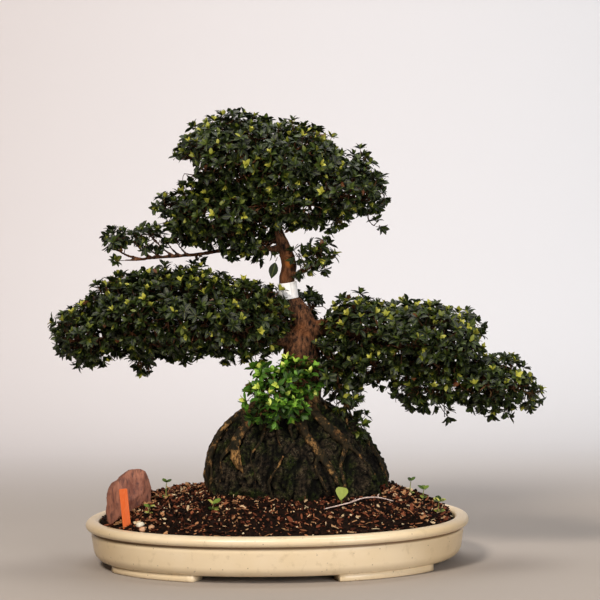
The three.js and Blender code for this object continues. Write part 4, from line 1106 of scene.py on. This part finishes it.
# Plant label
# A flat stake of orange plastic, cut to a point at the foot, pushed into the soil in front of the stone.
LABEL_WIDTH, LABEL_THICK, LABEL_LENGTH = 12.5, 1.2, 92.0
LABEL_TOP, LABEL_LEAN, LABEL_TURN = np.array([-223.0, -117.0, 131.0]), 0.08, 0.12
half = LABEL_WIDTH / 2
rim = [(-half + 1.6, 0), (-half + 0.6, -0.4), (-half, -1.5)]
rim += [(-half, z) for z in np.linspace(-6, -LABEL_LENGTH + 16, 12)] + [(0, -LABEL_LENGTH)]
rim += [(half, z) for z in np.linspace(-LABEL_LENGTH + 16, -6, 12)]
rim += [(half, -1.5), (half - 0.6, -0.4), (half - 1.6, 0)]
rim = np.array(rim, float)
layers = []
for inset, y in ((0.25, -0.6), (0.0, -0.35), (0.0, 0.35), (0.25, 0.6)):
    bow = 0.8 * np.sin(-rim[:, 1] / LABEL_LENGTH * math.pi)
    narrowed = rim[:, 0] * (1 - inset / half)
    lowered = rim[:, 1] - inset * (rim[:, 1] > -1)
    layers.append(np.stack([narrowed, y * LABEL_THICK / 1.2 + bow, lowered], axis=1))
points = np.concatenate(layers) @ np.array(Matrix.Rotation(-LABEL_LEAN, 3, "Y").transposed())
points = points @ np.array(Matrix.Rotation(LABEL_TURN, 3, "Z").transposed()) + LABEL_TOP
n = len(rim)
faces = [tuple(range(n))] + [tuple(range(4 * n - 1, 3 * n - 1, -1))]
for layer in range(3):
    for i in range(n):
        j = (i + 1) % n
        faces.append((layer * n + i, (layer + 1) * n + i, (layer + 1) * n + j, layer * n + j))
plastic, tree, coords = new_material("orange_styrene")
drawn_out = add(tree, "Mapping", {"Vector": coords, "Scale": (1.0, 1.0, 0.15)}).outputs["Vector"]
scuffs = grains(tree, drawn_out, 0.0012, 4.0)
shade = mix(tree, remap(tree, scuffs, 0.5, 0.75, 0.0, 0.35), "#d9601c", "#e8955a")
surface(tree, shade, remap(tree, scuffs, 0.0, 1.0, 0.35, 0.6), ior=1.59)
ride(make_object("label_stake", points, faces, plastic, smooth=False), "orange_plastic", "plant_label")

# Bare twig
# A dead twig bleached nearly white, lying on the soil in front of the rock, with the stubs of two side
# shoots.
TWIG_PATH = [(84, -138), (104, -129), (122, -116), (142, -103), (164, -89), (186, -77)]
TWIG_LIFTS = (2.0, 6.0, 8.0, 8.5, 9.0, 5.0)
line = [np.array([x, y, float(soil_height(x, y)) + lift]) for (x, y), lift in zip(TWIG_PATH, TWIG_LIFTS)]
parts = [tube(line, [0.6, 0.9, 1.1, 1.1, 0.9, 0.7], 9, 12, 0.12, 3)]
for foot, bent, end in ((2, [6, -2, 3.5], [9, -2, 6.5]), (4, [-1, 3, 3], [1, 5, 5])):
    parts.append(tube([line[foot], line[foot] + bent, line[foot] + end], [0.8, 0.6, 0.4], 6, 4))
bleached, tree, coords = new_material("bleached_dead_wood")
lengthwise = add(tree, "Mapping", {"Vector": coords, "Scale": (0.2, 1.0, 1.0)}).outputs["Vector"]
grain = grains(tree, lengthwise, 0.0014, 5.0)
shade = tones(tree, grain, [(0.36, "#9a7f78"), (0.58, "#f0dcd4")])
surface(tree, shade, 0.8, relief(tree, grain, 0.5, 0.0006))
ride(make_object("twig_dead", *gather(parts), bleached), "bleached_twig", "bare_twig")

# Weeds
# Seedlings rooted in the soil: a hair-thin green stem with a few soft broad leaves, yellow-green against the
# bark. The one in front of the rock has a single heart-shaped leaf that hangs forward from its stalk. Each
# seedling's place, the height of its stem, the length of its leaves and how many stand at its top.
WEEDS = {
    "left_tall": (-165, -60, 26, 11, 3), "left_low": (-186, -106, 12, 11, 4), "front_left": (-84, -132, 12, 14, 4),
    "front_heart": (109, -114, 16, 20, 0), "right_upper": (210, -6, 22, 11, 3),
    "right_middle": (230, -12, 16, 12, 4), "right_lower": (254, -42, 18, 14, 5),
}
BROAD_LEAF = leaf_shape([(0.14, 0.36), (0.34, 0.62), (0.56, 0.66), (0.78, 0.46), (0.92, 0.22)])
HEART_LEAF = leaf_shape([(0.03, 0.6), (0.16, 0.9), (0.36, 0.96), (0.6, 0.7), (0.82, 0.36), (0.94, 0.14)])
weed_leaf = leaf_material("soft_weed_leaf", [
    (0.0, "#24380f"), (0.3, "#3c571a"), (0.55, "#6a8230"), (0.78, "#94a040"), (1.0, "#c0c06a"),
], 0.5)
stalk_green, tree, coords = new_material("green_weed_stalk")
surface(tree, mix(tree, grains(tree, coords, 0.002), "#5d6a2c", "#a6ac62"), 0.55, ior=1.4)
for number, (name, (x, y, tall, length, count)) in enumerate(WEEDS.items()):
    rng = np.random.default_rng(300 + number)
    ground = float(soil_height(x, y))
    top = np.array([x + 1, y - 1, ground + tall])
    if name == "front_heart":
        arch = [(x, y, ground - 6), tuple(top)]
        arch += [(x + 1, y + 2, ground + tall + 8), (x + 2, y - 3, ground + tall + 11)]
        stems = [tube(arch, [0.8, 0.7, 0.6, 0.5], 6, 6)]
        rows = [[arch[-1]], [[-0.12, -0.4, -0.91]], [[0.15, -0.9, 0.4]], [float(length)], [0.72]]
        shape = HEART_LEAF
    else:
        stem = [(x, y, ground - 6), (x - 0.5, y, ground + tall * 0.5), tuple(top)]
        stems = [tube(stem, [0.9, 0.8, 0.6], 6, 6)]
        rows, shape = [[], [], [], [], []], BROAD_LEAF
        for foot, some, share in ((top, count, 1.0), (np.array([x, y, ground + 2]), count + 2, 0.75)):
            for k in range(some):
                turn, lift = (k + rng.uniform(-0.2, 0.2)) / some * 2 * math.pi + 0.4, rng.uniform(0.25, 0.8)
                level = math.cos(lift)
                ahead = np.array([math.cos(turn) * level, math.sin(turn) * level, math.sin(lift)])
                size, lightest = length * share * rng.uniform(0.8, 1.05), 0.5 + 0.5 * (share < 1 or tall < 20)
                top_side = unit(np.array([0, -0.5, 1]) - ahead * 0.3)
                for kept, value in zip(rows, (foot, ahead, top_side, size, rng.uniform(0.0, lightest))):
                    kept.append(value)
    rows = [np.array(v) for v in rows]
    ride(leaf_mesh("weed_blades_" + name, rows, weed_leaf, shape), "weed_leaf", "weed_" + name)
    ride(make_object("weed_stalk_" + name, *gather(stems), stalk_green), "weed_leaf", "weed_" + name)
